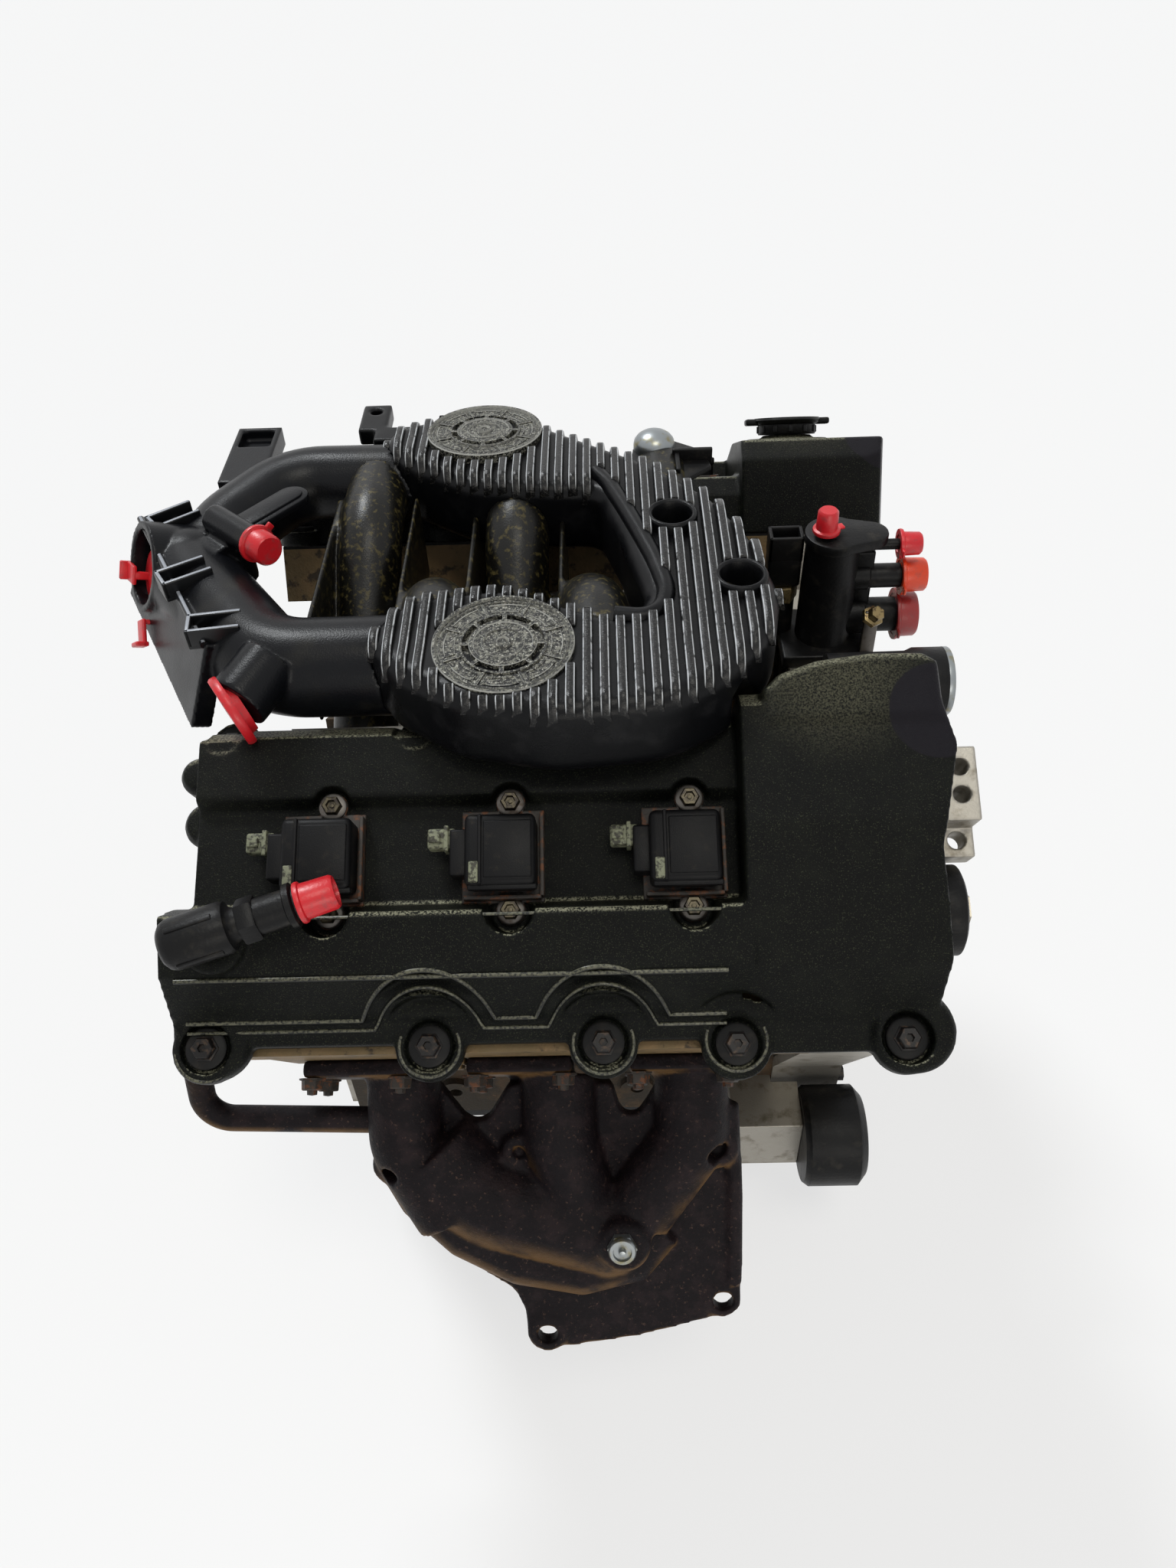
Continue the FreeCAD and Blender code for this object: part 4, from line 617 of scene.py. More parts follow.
def metal_looks():
    """The plain metals: cast, turned, painted and rusty."""
    return {
        "head": mottled("head_aluminium", (0.15, 0.105, 0.05), 0.42,
                        [((0.2, 0.13, 0.062), 0.42, 0.62, 40, 6, 0.62),
                         ((0.045, 0.032, 0.02), 0.54, 0.66, 110, 6, 0.66)],
                        gloss=(0.38, 0.7, 60, 5), grain=(0.0003, 600, 4), metallic=0.2, specular=0.3),
        "block": mottled("block_iron", (0.04, 0.033, 0.025), 0.75,
                         [((0.095, 0.06, 0.034), 0.45, 0.65, 30, 6, 0.6),
                          ((0.19, 0.1, 0.055), 0.6, 0.72, 200, 6, 0.7)],
                         grain=(0.0006, 500, 6, 0.65), specular=0.2),
        "aluminium": mottled("cast_aluminium", (0.34, 0.32, 0.28), 0.42,
                             [((0.17, 0.15, 0.115), 0.5, 0.72, 70, 6, 0.6)],
                             gloss=(0.35, 0.6, 120, 5), grain=(0.00025, 800, 4), metallic=0.75),
        "steel": mottled("worn_steel", (0.34, 0.31, 0.25), 0.32,
                         [((0.17, 0.12, 0.07), 0.5, 0.7, 300, 5, 0.65)],
                         gloss=(0.22, 0.5, 200, 5), metallic=1.0),
        "dark_steel": mottled("dark_steel", (0.12, 0.11, 0.1), 0.36,
                              [((0.06, 0.045, 0.035), 0.5, 0.7, 120, 5, 0.65)],
                              gloss=(0.26, 0.55, 90, 5), metallic=0.9),
        "brass": mottled("brass", (0.24, 0.18, 0.085), 0.4,
                         [((0.07, 0.048, 0.028), 0.48, 0.66, 350, 5, 0.65)], metallic=0.9),
        "silver": mottled("silver_dome", (0.26, 0.28, 0.29), 0.32,
                          [((0.22, 0.2, 0.12), 0.5, 0.72, 140, 5)], metallic=0.8),
        "screw": mottled("coil_screw", (0.07, 0.058, 0.034), 0.4,
                         [((0.018, 0.013, 0.01), 0.45, 0.62, 240, 5, 0.7)], metallic=0.6),
        "black_bolt": mottled("black_bolt", (0.0075, 0.0065, 0.0065), 0.4,
                              [((0.07, 0.045, 0.03), 0.5, 0.7, 300, 5, 0.6)], specular=0.2),
        "bracket": mottled("coil_bracket", (0.035, 0.03, 0.026), 0.55,
                           [((0.13, 0.05, 0.022), 0.5, 0.62, 220, 6, 0.65)],
                           grain=(0.0003, 500, 5), specular=0.3),
        "sooty": mottled("sooty_rust", (0.05, 0.022, 0.012), 0.7,
                         [((0.22, 0.1, 0.04), 0.46, 0.6, 260, 5, 0.7)], grain=(0.0005, 500, 5), specular=0.2),
    }


def make_looks():
    """Every material of the engine, by name."""
    special = {"rib": rib_black(), "disc": disc_black(), "cover": cover_crackle(), "bead": cover_bead(),
               "manifold": manifold_iron(), "clip": clip_black()}
    return {**plastic_looks(), **metal_looks(), **special}


CAM_PIECES = tuple("%s_%s_%s" % (bank, camshaft, part) for bank in SIDES
                   for camshaft in ("intake", "exhaust") for part in ("camshaft", "sprocket"))

NODE_LOOKS = {
    "block": ("cylinder_block", "main_bearing_caps"),
    "head": ("near_cylinder_head", "far_cylinder_head", "cam_bearing_caps"),
    "aluminium": ("timing_cover", "rear_seal_retainer", "accessory_bracket", "oil_filter_adapter",
                  "lower_intake_manifold"),
    "black_paint": ("oil_pan", "oil_filter", "crank_pulley", "breather_valve", "oil_filler_cap",
                    "coolant_outlet", "coolant_inlet_neck", "idler_pulley"),
    "cover": ("near_valve_cover", "far_valve_cover"),
    "plenum": ("intake_plenum",),
    "duct": ("throttle_duct",),
    "runner": ("intake_runners",),
    "manifold": ("near_exhaust_manifold", "far_exhaust_manifold", "exhaust_gas_tube"),
    "coil": tuple("ignition_coil_%d" % k for k in range(1, 7)),
    "red_cap": ("shipping_caps",),
    "gasket": ("valve_cover_gaskets",),
    "ceramic": ("spark_plugs",),
    "steel": ("oxygen_sensors", "idler_bolt", "drain_plug", "oil_pan_bolts", "coil_bolts",
              "crank_pulley_bolt", "core_plugs"),
    "black_bolt": ("valve_cover_bolts", "timing_cover_bolts"),
    "dark_steel": ("crankshaft", "crank_sprocket", "timing_chain", "camshaft_link_chains", "pump_sprocket",
                   "spark_plug_tubes", *CAM_PIECES),
}


def paint_nodes():
    """Gives every CAD node its procedural material."""
    for look, names in NODE_LOOKS.items():
        for name in names:
            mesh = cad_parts[name].data
            mesh.materials.clear()
            mesh.materials.append(LOOKS[look])


def ease_node_edges():
    """Rounds the sharp edges of the CAD nodes that stay in view, with modifiers alone."""
    for name in ("crank_pulley", "idler_pulley", "idler_bolt", "drain_plug", "oil_pan_bolts", "oil_filter",
                 "crank_pulley_bolt", "valve_cover_bolts", "oil_filter_adapter"):
        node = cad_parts[name]
        weld = node.modifiers.new("weld", "WELD")
        weld.merge_threshold = 0.00001
        bevel = node.modifiers.new("bevel", "BEVEL")
        bevel.width = 0.0007
        bevel.segments = 2
        bevel.limit_method = "ANGLE"
        bevel.angle_limit = math.radians(35)
        bevel.harden_normals = True


# Camera, light and floor

def camera_turn(pitch, yaw, roll):
    """The camera's axes for a pitch below the horizon, a yaw and a roll in degrees."""
    p, y, r = (math.radians(a) for a in (pitch, yaw, roll))
    ahead = Vector((math.sin(y) * math.cos(p), math.cos(y) * math.cos(p), -math.sin(p)))
    right = ahead.cross(Vector((0, 0, 1))).normalized()
    up = right.cross(ahead)
    c, s = math.cos(r), math.sin(r)
    x, z = c * right + s * up, -ahead
    y = -s * right + c * up
    return Matrix((x, y, z)).transposed().to_4x4()


CAMERA_PLACE = (0.20743, -0.60987, 0.79487)
CAMERA_PITCH, CAMERA_YAW, CAMERA_ROLL = 44.8, -1.69, -2.63
CAMERA_LENS = 27.52


def add_camera():
    data = bpy.data.cameras.new("camera")
    data.lens = CAMERA_LENS
    data.sensor_width = 36
    camera = bpy.data.objects.new("camera", data)
    bpy.context.scene.collection.objects.link(camera)
    turn = camera_turn(CAMERA_PITCH, CAMERA_YAW, CAMERA_ROLL)
    camera.matrix_world = Matrix.Translation(CAMERA_PLACE) @ turn
    data.clip_start, data.clip_end = 0.02, 60
    bpy.context.scene.camera = camera


def add_lamp(name, place, target, size, power, colour=(1, 1, 1)):
    data = bpy.data.lights.new(name, "AREA")
    data.shape = "RECTANGLE"
    data.size, data.size_y = size
    data.energy = power
    data.color = colour
    lamp = bpy.data.objects.new(name, data)
    bpy.context.scene.collection.objects.link(lamp)
    lamp.location = place
    lamp.rotation_euler = (Vector(target) - Vector(place)).to_track_quat("-Z", "Y").to_euler()


def add_sun(name, towards, width, strength, colour):
    """A wide soft light from far away, so that the floor is lit evenly."""
    data = bpy.data.lights.new(name, "SUN")
    data.angle = math.radians(width)
    data.energy = strength
    data.color = colour
    lamp = bpy.data.objects.new(name, data)
    bpy.context.scene.collection.objects.link(lamp)
    lamp.rotation_euler = Vector(towards).to_track_quat("Z", "Y").to_euler()


def shown_share(tree):
    """1 for camera, glossy and transmission rays, which see the plain background."""
    path = tree.nodes.new("ShaderNodeLightPath")
    share = path.outputs["Is Camera Ray"]
    for name in ("Is Glossy Ray", "Is Transmission Ray"):
        add = tree.nodes.new("ShaderNodeMath")
        add.operation = "MAXIMUM"
        tree.links.new(share, add.inputs[0])
        tree.links.new(path.outputs[name], add.inputs[1])
        share = add.outputs[0]
    return share


BACKGROUND = (0.955, 0.955, 0.955, 1)


def add_world():
    world = bpy.data.worlds.new("studio")
    world.use_nodes = True
    tree = world.node_tree
    fill = tree.nodes["Background"]
    fill.inputs["Color"].default_value = (0.93, 0.96, 1, 1)
    fill.inputs["Strength"].default_value = 0.3
    seen = tree.nodes.new("ShaderNodeBackground")
    seen.inputs["Color"].default_value = BACKGROUND
    mix = tree.nodes.new("ShaderNodeMixShader")
    tree.links.new(shown_share(tree), mix.inputs[0])
    tree.links.new(fill.outputs[0], mix.inputs[1])
    tree.links.new(seen.outputs[0], mix.inputs[2])
    tree.links.new(mix.outputs[0], tree.nodes["World Output"].inputs[0])
    bpy.context.scene.world = world


def add_floor():
    """A wide pale floor that keeps the soft shadow under a plain background."""
    low = CAD_BOX[0].z
    form = bmesh.new()
    corners = [form.verts.new((x, y, low - 0.0005)) for x, y in ((-12, -12), (12, -12), (12, 12), (-12, 12))]
    form.faces.new(corners)
    floor = to_object("floor", form)
    material = bpy.data.materials.new("floor_white")
    material.use_nodes = True
    tree = material.node_tree
    shader = tree.nodes["Principled BSDF"]
    shader.inputs["Base Color"].default_value = (0.86, 0.86, 0.86, 1)
    shader.inputs["Roughness"].default_value = 0.9
    shader.inputs["Specular IOR Level"].default_value = 0.0
    glow = tree.nodes.new("ShaderNodeEmission")
    glow.inputs["Color"].default_value = BACKGROUND
    half = tree.nodes.new("ShaderNodeMath")
    half.operation = "MULTIPLY"
    half.inputs[1].default_value = 0.7
    tree.links.new(shown_share(tree), half.inputs[0])
    mix = tree.nodes.new("ShaderNodeMixShader")
    tree.links.new(half.outputs[0], mix.inputs[0])
    tree.links.new(shader.outputs[0], mix.inputs[1])
    tree.links.new(glow.outputs[0], mix.inputs[2])
    tree.links.new(mix.outputs[0], tree.nodes["Material Output"].inputs[0])
    floor.data.materials.append(material)


def add_stage():
    scene = bpy.context.scene
    scene.view_settings.view_transform = "Standard"
    add_camera()
    add_world()
    add_floor()
    add_sun("daylight", (-0.42, 0.62, 1.0), 13, 1.9, (0.95, 0.98, 1.0))
    add_sun("overhead", (0.12, -0.3, 1.0), 18, 0.8, (1.0, 0.97, 0.88))
    add_lamp("front", (0.7, -1.9, 0.7), (0.2, -0.2, 0.15), (1.2, 0.5), 8, (1.0, 0.95, 0.86))


# Intake plenum with its ribs and discs

DECK = 403.95
CROWN_TOP, CROWN_RADIUS = 411, 1680
RIB_FIRST, RIB_PITCH, RIB_COUNT = 63.8, 8.8, 28
DISC_RADIUS = 37.7
DISCS = {"near": (151.7, -113), "far": (129, 113)}


def crown(y):
    return CROWN_TOP - CROWN_RADIUS + math.sqrt(CROWN_RADIUS ** 2 - y ** 2)


def plenum_chamber():
    """The chamber without its ribs: the CAD solid cut off at its deck, then eased."""
    form = bmesh.new()
    form.from_mesh(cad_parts["intake_plenum"].data)
    bmesh.ops.remove_doubles(form, verts=form.verts, dist=1e-6)
    bmesh.ops.bisect_plane(form, geom=form.verts[:] + form.edges[:] + form.faces[:],
                           plane_co=(0, 0, DECK * MM), plane_no=(0, 0, 1), clear_outer=True)
    rims = [edge for edge in form.edges if edge.is_boundary]
    bmesh.ops.triangle_fill(form, edges=rims, use_beauty=True)
    obj = to_object("plenum_chamber", form)
    skin(obj, 1.3)
    soften(obj, 5, 0.5)
    dress(obj, LOOKS["plenum"], smooth=60)
    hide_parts("intake_plenum")


def skyline(mesh):
    """A function that gives a mesh's highest point at an X and Y, in millimetres, or None."""
    tree = BVHTree.FromPolygons([v.co for v in mesh.vertices], [tuple(f.vertices) for f in mesh.polygons])

    def height(x, y):
        hit = tree.ray_cast(Vector((x * MM, y * MM, 0.6)), Vector((0, 0, -1)))[0]
        return hit.z / MM if hit else None
    return height


RIB_FALL = 11
RIB_LEAST = 3.4
RIB_SECTION = [(-3.3, None), (-2.6, -1.5), (-2.4, -0.7), (-1.9, -0.12), (0, 0), (1.9, -0.12), (2.4, -0.7),
               (2.6, -1.5), (3.3, None)]
OPENING = [(198, 60), (206, 46), (215, 18), (223, -9), (231, -38), (236.5, -66), (233, -82), (223, -89),
           (207, -86)]
PLENUM_WELLS = ((246, 2), (281, -60))
WELL_RIM = 15.2


def past_opening(x, y):
    """Whether a point lies on the smooth rim of the opening's front wall."""
    for (x1, y1), (x2, y2) in zip(OPENING, OPENING[1:]):
        if x > 200 and y2 <= y <= y1:
            return x < x1 + (x2 - x1) * (y - y1) / (y2 - y1) + 6
    return False


def in_well(x, y):
    return any(math.hypot(x - wx, y - wy) < WELL_RIM - 1 for wx, wy in PLENUM_WELLS)


def in_disc(x, y):
    return any(math.hypot(x - dx, y - dy) < DISC_RADIUS + 1.0 for dx, dy in DISCS.values())


def rib_runs(height, x):
    """The stretches of one rib over the chamber and its shoulders, as lists of Y and surface height."""
    runs, run = [], []
    for y in range(-180, 181):
        surface = height(x, y)
        bare = in_disc(x, y) or in_well(x, y) or past_opening(x, y)
        if surface is not None and surface > DECK - RIB_FALL and not bare:
            run.append((y, surface))
            continue
        if len(run) > 3:
            runs.append(run)
        run = []
    return runs


def rib_rings(run):
    """Points of one rib's top and foot along Y: level on the deck, fading out down the shoulders."""
    rings = []
    first, last = run[0], run[-1]
    for y, surface in run[::2] + ([last] if len(run) % 2 == 0 else []):
        sunk = max(DECK - surface, 0) / RIB_FALL
        fade = max(0.0, 1 - sunk ** 2) ** 0.5
        for end_y, end_surface in (first, last):
            if end_surface > DECK - 1.5:
                fade = min(fade, math.sin(min(1.0, (abs(y - end_y) + 0.8) / 3) * math.pi / 2))
        top = surface + max(crown(y) - DECK, RIB_LEAST) * fade
        rings.append((y, min(top, CROWN_TOP), surface - 2.0))
    return rings


def plenum_ribs():
    height = skyline(bpy.data.objects["plenum_chamber"].data)
    form = bmesh.new()
    for k in range(RIB_COUNT):
        x = RIB_FIRST + k * RIB_PITCH
        for run in rib_runs(height, x):
            rings = []
            for y, top, foot in rib_rings(run):
                rings.append([form.verts.new(mm(x + dx, y, foot if dz is None else max(top + dz, foot)))
                              for dx, dz in RIB_SECTION])
            for a, b in zip(rings, rings[1:]):
                for i in range(len(RIB_SECTION)):
                    j = (i + 1) % len(RIB_SECTION)
                    form.faces.new((a[i], b[i], b[j], a[j]))
            form.faces.new(rings[0])
            form.faces.new(list(reversed(rings[-1])))
    piece("plenum_ribs", form, LOOKS["rib"], smooth=50)


def plenum_rims():
    """The smooth rim of the opening's front wall and the raised rims of the two bolt wells."""
    form = bmesh.new()
    line = [(x + 3.6, y, crown(y) - 6.4) for x, y in OPENING]
    add_tube(form, line, 5.4, spot_at(), 16, 8)
    for x, y in PLENUM_WELLS:
        top = crown(y)
        add_lathe(form, [(11.6, 380), (11.6, top - 1.4), (12.4, top - 0.3), (13.4, top), (14.4, top - 0.4),
                         (WELL_RIM, top - 1.6), (WELL_RIM, 396), (12.6, 380), (11.6, 380)],
                  spot_at(x, y, 0), 48)
    piece("plenum_rims", form, LOOKS["plenum"], smooth=60)


DISC_RINGS = [
    (0, -8), (37.7, -8), (37.7, -0.7), (37.2, 0), (35.9, 0), (35.3, -1.6), (34.4, -1.6), (34.1, -0.9),
    (33.3, -0.9), (33, -1.7), (23.6, -1.7), (23.3, -0.6), (21.9, -0.6), (21.5, -3.4), (18.6, -3.4),
    (18.1, -0.3), (17.5, 0.1), (15.9, 0.1), (15.5, -0.5), (11.6, -0.5), (11.3, 0.1), (10.3, 0.1), (10, -0.7),
    (5, -0.7), (4.5, 0.7), (3.4, 0.9), (2.9, 0), (0, 0),
]


def plenum_disc(name):
    """A raised round panel of rings, eight plain sectors and short spokes."""
    x, y = DISCS[name]
    tilt = turned(math.degrees(math.asin(-y / CROWN_RADIUS)), "X")
    spot = in_mm(Matrix.Translation(mm(x, y, crown(y) + 0.5)) @ tilt)
    form = bmesh.new()
    add_lathe(form, DISC_RINGS, spot, 72)
    for k in range(8):
        turn = turned(45 * k)
        add_box(form, (5.2, 2.4, 2.6), (20, 0, -1.8), 0.4, spot @ turn)
        half = turned(45 * k + 22.5)
        add_box(form, (9.6, 1.5, 1.2), (28.4, 0, -1.4), 0.35, spot @ half)
        sector = [(26, a) for a in (-16, -8, 0, 8, 16)] + [(31.4, a) for a in (17, 8, 0, -8, -17)]
        loop = [(r * math.cos(math.radians(a)), r * math.sin(math.radians(a)), -1.6) for r, a in sector]
        add_tube(form, loop, 0.45, spot @ turn, 6, closed=True)
    piece(name + "_plenum_disc", form, LOOKS["disc"], smooth=35)


# Valve covers

WELLS = (107, 199)
BEADS_START, BEADS_END = -22, 266
COVER_SECTION = [(-77, 336), (-75, 361), (-67, 373), (-35, 373), (-28.5, 365), (24.5, 365), (31.5, 383),
                 (60, 375.5), (82.5, 349.5), (94.5, 345), (94.5, 336)]
TALL_PART_EDGE = [(286, -60), (286.5, -80), (296, -89), (316, -96), (345, -99.5), (372, -99), (380, -94),
                  (381, -60)]


def cover_bolts(side):
    """The outboard and the inboard bolts of a cover, each an X and a distance outboard."""
    shift = bank_shift(side)
    outboard = [(-12, 96), (WELLS[0] + shift, 97), (WELLS[1] + shift, 97), (269 + shift, 99),
                (358 + shift / 2, 98)]
    inboard = [(-6, -72), (100, -72), (196, -72)]
    return outboard, inboard


def add_column(form, side, x, out, profile, segments=40):
    add_lathe(form, profile, bank_spot(side, x, out), segments)


def slope_up(out):
    """The height of the cover's outboard slope."""
    for (o1, u1), (o2, u2) in zip(COVER_SECTION[6:], COVER_SECTION[7:]):
        if o1 <= out <= o2:
            return u1 + (u2 - u1) * (out - o1) / (o2 - o1)
    return COVER_SECTION[-2][1]


def ledge(side, out, radius):
    """A line along the slope that arches inboard over the middle bolts, as points on the slope."""
    shift = bank_shift(side)
    points = []
    for x in range(BEADS_START, BEADS_END + shift, 2):
        away = min(abs(x - well - shift) for well in WELLS)
        line = out
        if radius and away < radius:
            line = min(out, 97 - math.sqrt(radius ** 2 - away ** 2))
        points.append((x, line, slope_up(line)))
    return points


def cover_extras(side):
    """The inside filled up, the rims of the bolt wells, the beads on the slope and the bosses of the ends."""
    def extra(form):
        shift = bank_shift(side)
        place = bank_spot(side)
        along = place @ Matrix(((0, 0, 1, 0), (1, 0, 0, 0), (0, 1, 0, 0), (0, 0, 0, 1)))
        add_plate(form, COVER_SECTION, -16, 272 + shift, along)
        for x, out in cover_bolts(side)[0]:
            add_column(form, side, x, out, rod(337, 348.5, 18.5))
        for out, radius, thick in ((82, 38.5, 3.0), (88, 28, 2.4)):
            add_tube(form, ledge(side, out, radius), thick, place, 10)
        add_tube(form, [(-14, 34, 383), (262 + shift, 34, 383)], 2.2, place, 12)
        add_column(form, side, 0, 44, [(0, 370), (17, 370), (17, 384.5), (12, 386), (0, 386)])
        add_column(form, side, -9, 92, [(0, 337), (21, 337), (21, 346), (19, 350), (0, 352)])
        for x, out, radius in ((-22, -52, 11), (-16, -24, 13)):
            boss = [(0, 337), (radius, 337), (radius, 356), (radius - 3, 361), (0, 362)]
            add_column(form, side, x, out, boss)
        if side == FAR:
            add_column(form, side, 342, 0, [(0, 390), (30, 390), (30, 398.6), (29, 399.6), (0, 399.6)], 56)
        else:
            add_plate(form, TALL_PART_EDGE, 352, 400, place, 5)
            add_column(form, side, 362, 94, [(0, 337), (22, 337), (22, 350), (19, 353), (0, 353)])
    return extra


def cover_beads(name):
    """The crisp lines along the slope, arching over the middle bolts, and the rims of their wells."""
    side = SIDES[name]
    shift = bank_shift(side)
    place = bank_spot(side)
    form = bmesh.new()
    for out, radius, thick in ((62, 0, 1.5), (82, 38, 1.5), (87, 30, 1.1)):
        points = [(x, line + 1.2, up + 1.7) for x, line, up in ledge(side, out, radius)]
        add_tube(form, points, thick, place, 10)
    for x in (WELLS[0] + shift, WELLS[1] + shift, 269 + shift, -12):
        rim = [(along, out, 347.8) for along, out in circle(16, 29, x, 97, -24, 224)]
        add_tube(form, rim, 1.2, place, 10)
    for start, end in ((18, 86 + shift), (128 + shift, 182 + shift), (224 + shift, 262 + shift)):
        add_tube(form, [(start, 33, 383.2), (end, 33, 383.2)], 1.0, place, 8)
    piece(name + "_cover_beads", form, LOOKS["bead"])


def cover_carving(side):
    """Terraced arches round the outboard bolts, the wells themselves and the coil bolts' pockets."""
    def carve(form):
        outboard = cover_bolts(side)[0]
        for bolts, profile, segments in ((outboard[1:3], rod(362, 400, 36.5, 37.5), 56),
                                         (outboard[1:4], rod(353, 399, 26, 27), 48),
                                         (outboard, rod(345.5, 398, 13, 18), 40)):
            for x, out in bolts:
                add_column(form, side, x, out, profile, segments)
        for i in range(3):
            x = cylinder_x(side, i) + COIL_BOLT_X
            add_column(form, side, x, COIL_BOLT_SPREAD + 1, rod(366, 392, 10.5, 14.5), 36)
            add_column(form, side, x, -COIL_BOLT_SPREAD, rod(366, 380, 9.5, 11), 36)
    return carve


def valve_cover(name):
    side = SIDES[name]
    moulded(name + "_cover_casting", [name + "_valve_cover"], LOOKS["cover"], 1.25, easing=3,
            extra=cover_extras(side), carve=cover_carving(side))


# Coils

def coil_bracket(number, side, spot):
    """A rusty plate with two ears for the bolts and two upright rims."""
    bracket = bmesh.new()
    add_box(bracket, (44, 50, 2.6), (0, 0, 1.3), 0.8, spot)
    for out in (COIL_BOLT_SPREAD, -COIL_BOLT_SPREAD):
        add_lathe(bracket, [(0, 0), (7.8, 0), (7.8, 2.2), (7.2, 2.8), (0, 2.8)],
                  spot @ Matrix.Translation((COIL_BOLT_X, out, 0)), 28)
        add_box(bracket, (14, 10, 2.6), (COIL_BOLT_X, out * 0.8, 1.3), 0.7, spot)
    add_box(bracket, (2.2, 45, 9), (20.9, 0, 5), 0.6, spot)
    add_box(bracket, (41, 2.4, 8), (0, -side * 22.8, 5), 0.6, spot)
    piece("coil_bracket_%d" % number, bracket, LOOKS["bracket"])


def coil_core(number, side, spot):
    """The moulded core with its lid and shoulder, and its stalk down the plug's well."""
    core = bmesh.new()
    add_box(core, (37, 38, 22), (0, 0, 12.5), 3.4, spot)
    add_box(core, (25, 30, 1.6), (4, 0, 23.6), 0.8, spot)
    add_box(core, (2, 37, 2.6), (-10.5, 0, 23.2), 0.7, spot)
    add_box(core, (36, 3, 5), (1, -side * 19.4, 19), 1.0, spot)
    add_box(core, (10, 25, 14), (-22, 0, 10), 1.6, spot)
    add_lathe(core, rod(-88, 4, 9), spot, 24)
    body = piece("coil_core_%d" % number, core, LOOKS["coil"])
    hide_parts("ignition_coil_%d" % number)


def coil_connector(number, side, spot):
    """The grimy plug on the coil's rear and its catch on the lid."""
    lug = bmesh.new()
    add_box(lug, (5, 11, 3), (-13.5, -side * 12, 23.4), 0.8, spot)
    add_box(lug, (15, 11, 9), (-31.5, side * 8, 10), 1.6, spot)
    add_box(lug, (2.5, 13.5, 11.5), (-29, side * 8, 10), 0.6, spot)
    add_box(lug, (6, 5, 2.4), (-35, side * 8, 15.5), 0.6, spot)
    piece("coil_connector_%d" % number, lug, LOOKS["grime"])


def coil(number):
    side = NEAR if number <= 3 else FAR
    spot = bank_spot(side, cylinder_x(side, (number - 1) % 3), 0, COIL_UP)
    coil_bracket(number, side, spot)
    coil_core(number, side, spot)
    coil_connector(number, side, spot)


def coil_bolts():
    """Flanged bolts with a hollow head in a dark washer, two for each coil."""
    washers, heads = bmesh.new(), bmesh.new()
    for side in (NEAR, FAR):
        for i in range(3):
            for out in (COIL_BOLT_SPREAD, -COIL_BOLT_SPREAD):
                spot = bank_spot(side, cylinder_x(side, i) + COIL_BOLT_X, out, COIL_UP + 3)
                add_lathe(washers, [(0, 0), (7.4, 0), (7.4, 1), (6.6, 1.6), (0, 1.6)], spot, 28)
                add_lathe(heads, [(0, 1.5), (5.4, 1.5), (5.4, 4.6), (4.7, 5.4), (3.1, 5.4), (2.7, 3.2),
                                  (0, 3.2)], spot, 6)
                add_lathe(heads, [(0, 3), (1.4, 3), (1.2, 4), (0, 4.2)], spot, 12)
    piece("coil_bolt_washers", washers, LOOKS["dark_steel"])
    heads_obj = piece("coil_bolt_heads", heads, LOOKS["screw"])
    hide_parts("coil_bolts")


def cover_bolt_heads():
    """Dark shoulder bolts with rubber collars, deep in the cover's wells."""
    heads, collars = bmesh.new(), bmesh.new()
    for side in (NEAR, FAR):
        outboard, inboard = cover_bolts(side)
        for x, out in outboard + inboard:
            spot = bank_spot(side, x, out, 346.4)
            add_lathe(collars, [(0, 0), (11, 0), (11, 2.2), (10, 3), (0, 3)], spot, 30)
            add_lathe(heads, [(0, 2.8), (7.4, 2.8), (7.4, 4), (6.4, 4.6), (6.2, 8.6), (5.4, 9.4), (2.4, 9.4),
                              (2.2, 7), (0, 7)], spot, 6)
    piece("cover_bolt_collars", collars, LOOKS["gasket"])
    obj = piece("cover_bolt_heads", heads, LOOKS["black_bolt"])
    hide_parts("valve_cover_bolts")


# Breather

def breather():
    """A fat capsule, a nut, a ring and a sleeve with a red flanged cap, lying over the near cover's boss."""
    axis = (48, -15, 0)
    spot = bank_spot(NEAR) @ Matrix.Translation((-16, 49, 404))
    spot = spot @ Vector(axis).to_track_quat("Z", "Y").to_matrix().to_4x4()
    body = bmesh.new()
    add_lathe(body, [(0, -2), (9.5, -2), (12, 0), (13.4, 3), (13.6, 30), (12.6, 32.5), (10, 33.5), (8.6, 36),
                     (8.6, 40), (0, 40)], spot, 40)
    add_lathe(body, [(0, 38), (11.4, 38), (12, 39), (12, 46), (11.4, 47), (0, 47)], spot, 6)
    add_lathe(body, [(0, 46), (9.4, 46), (9.4, 62), (11.6, 63), (11.6, 66), (9, 67), (8.4, 70), (8.4, 78),
                     (0, 78)], spot, 36)
    for turn in range(4):
        ridge = spot @ turned(90 * turn + 20)
        add_box(body, (1.6, 3, 24), (13.4, 0, 16), 0.6, ridge)
    add_lathe(body, [(0, -24), (8, -24), (8, -4), (10, -2), (0, 0)], bank_spot(NEAR, 0, 44, 404), 28)
    obj = piece("breather_body", body, LOOKS["black_paint"])
    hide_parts("breather_valve")
    cap = bmesh.new()
    add_lathe(cap, [(0, 68), (10.6, 68), (10.9, 69), (10.6, 70.4), (9.4, 71), (9, 86), (8, 87.6), (6.6, 87.6),
                    (6.2, 84.6), (0, 84.2)], spot, 32)
    piece("breather_cap", cap, LOOKS["red_cap"])


# Throttle end of the duct

PLATE_TURN, PLATE_LEAN = -61.9, 23


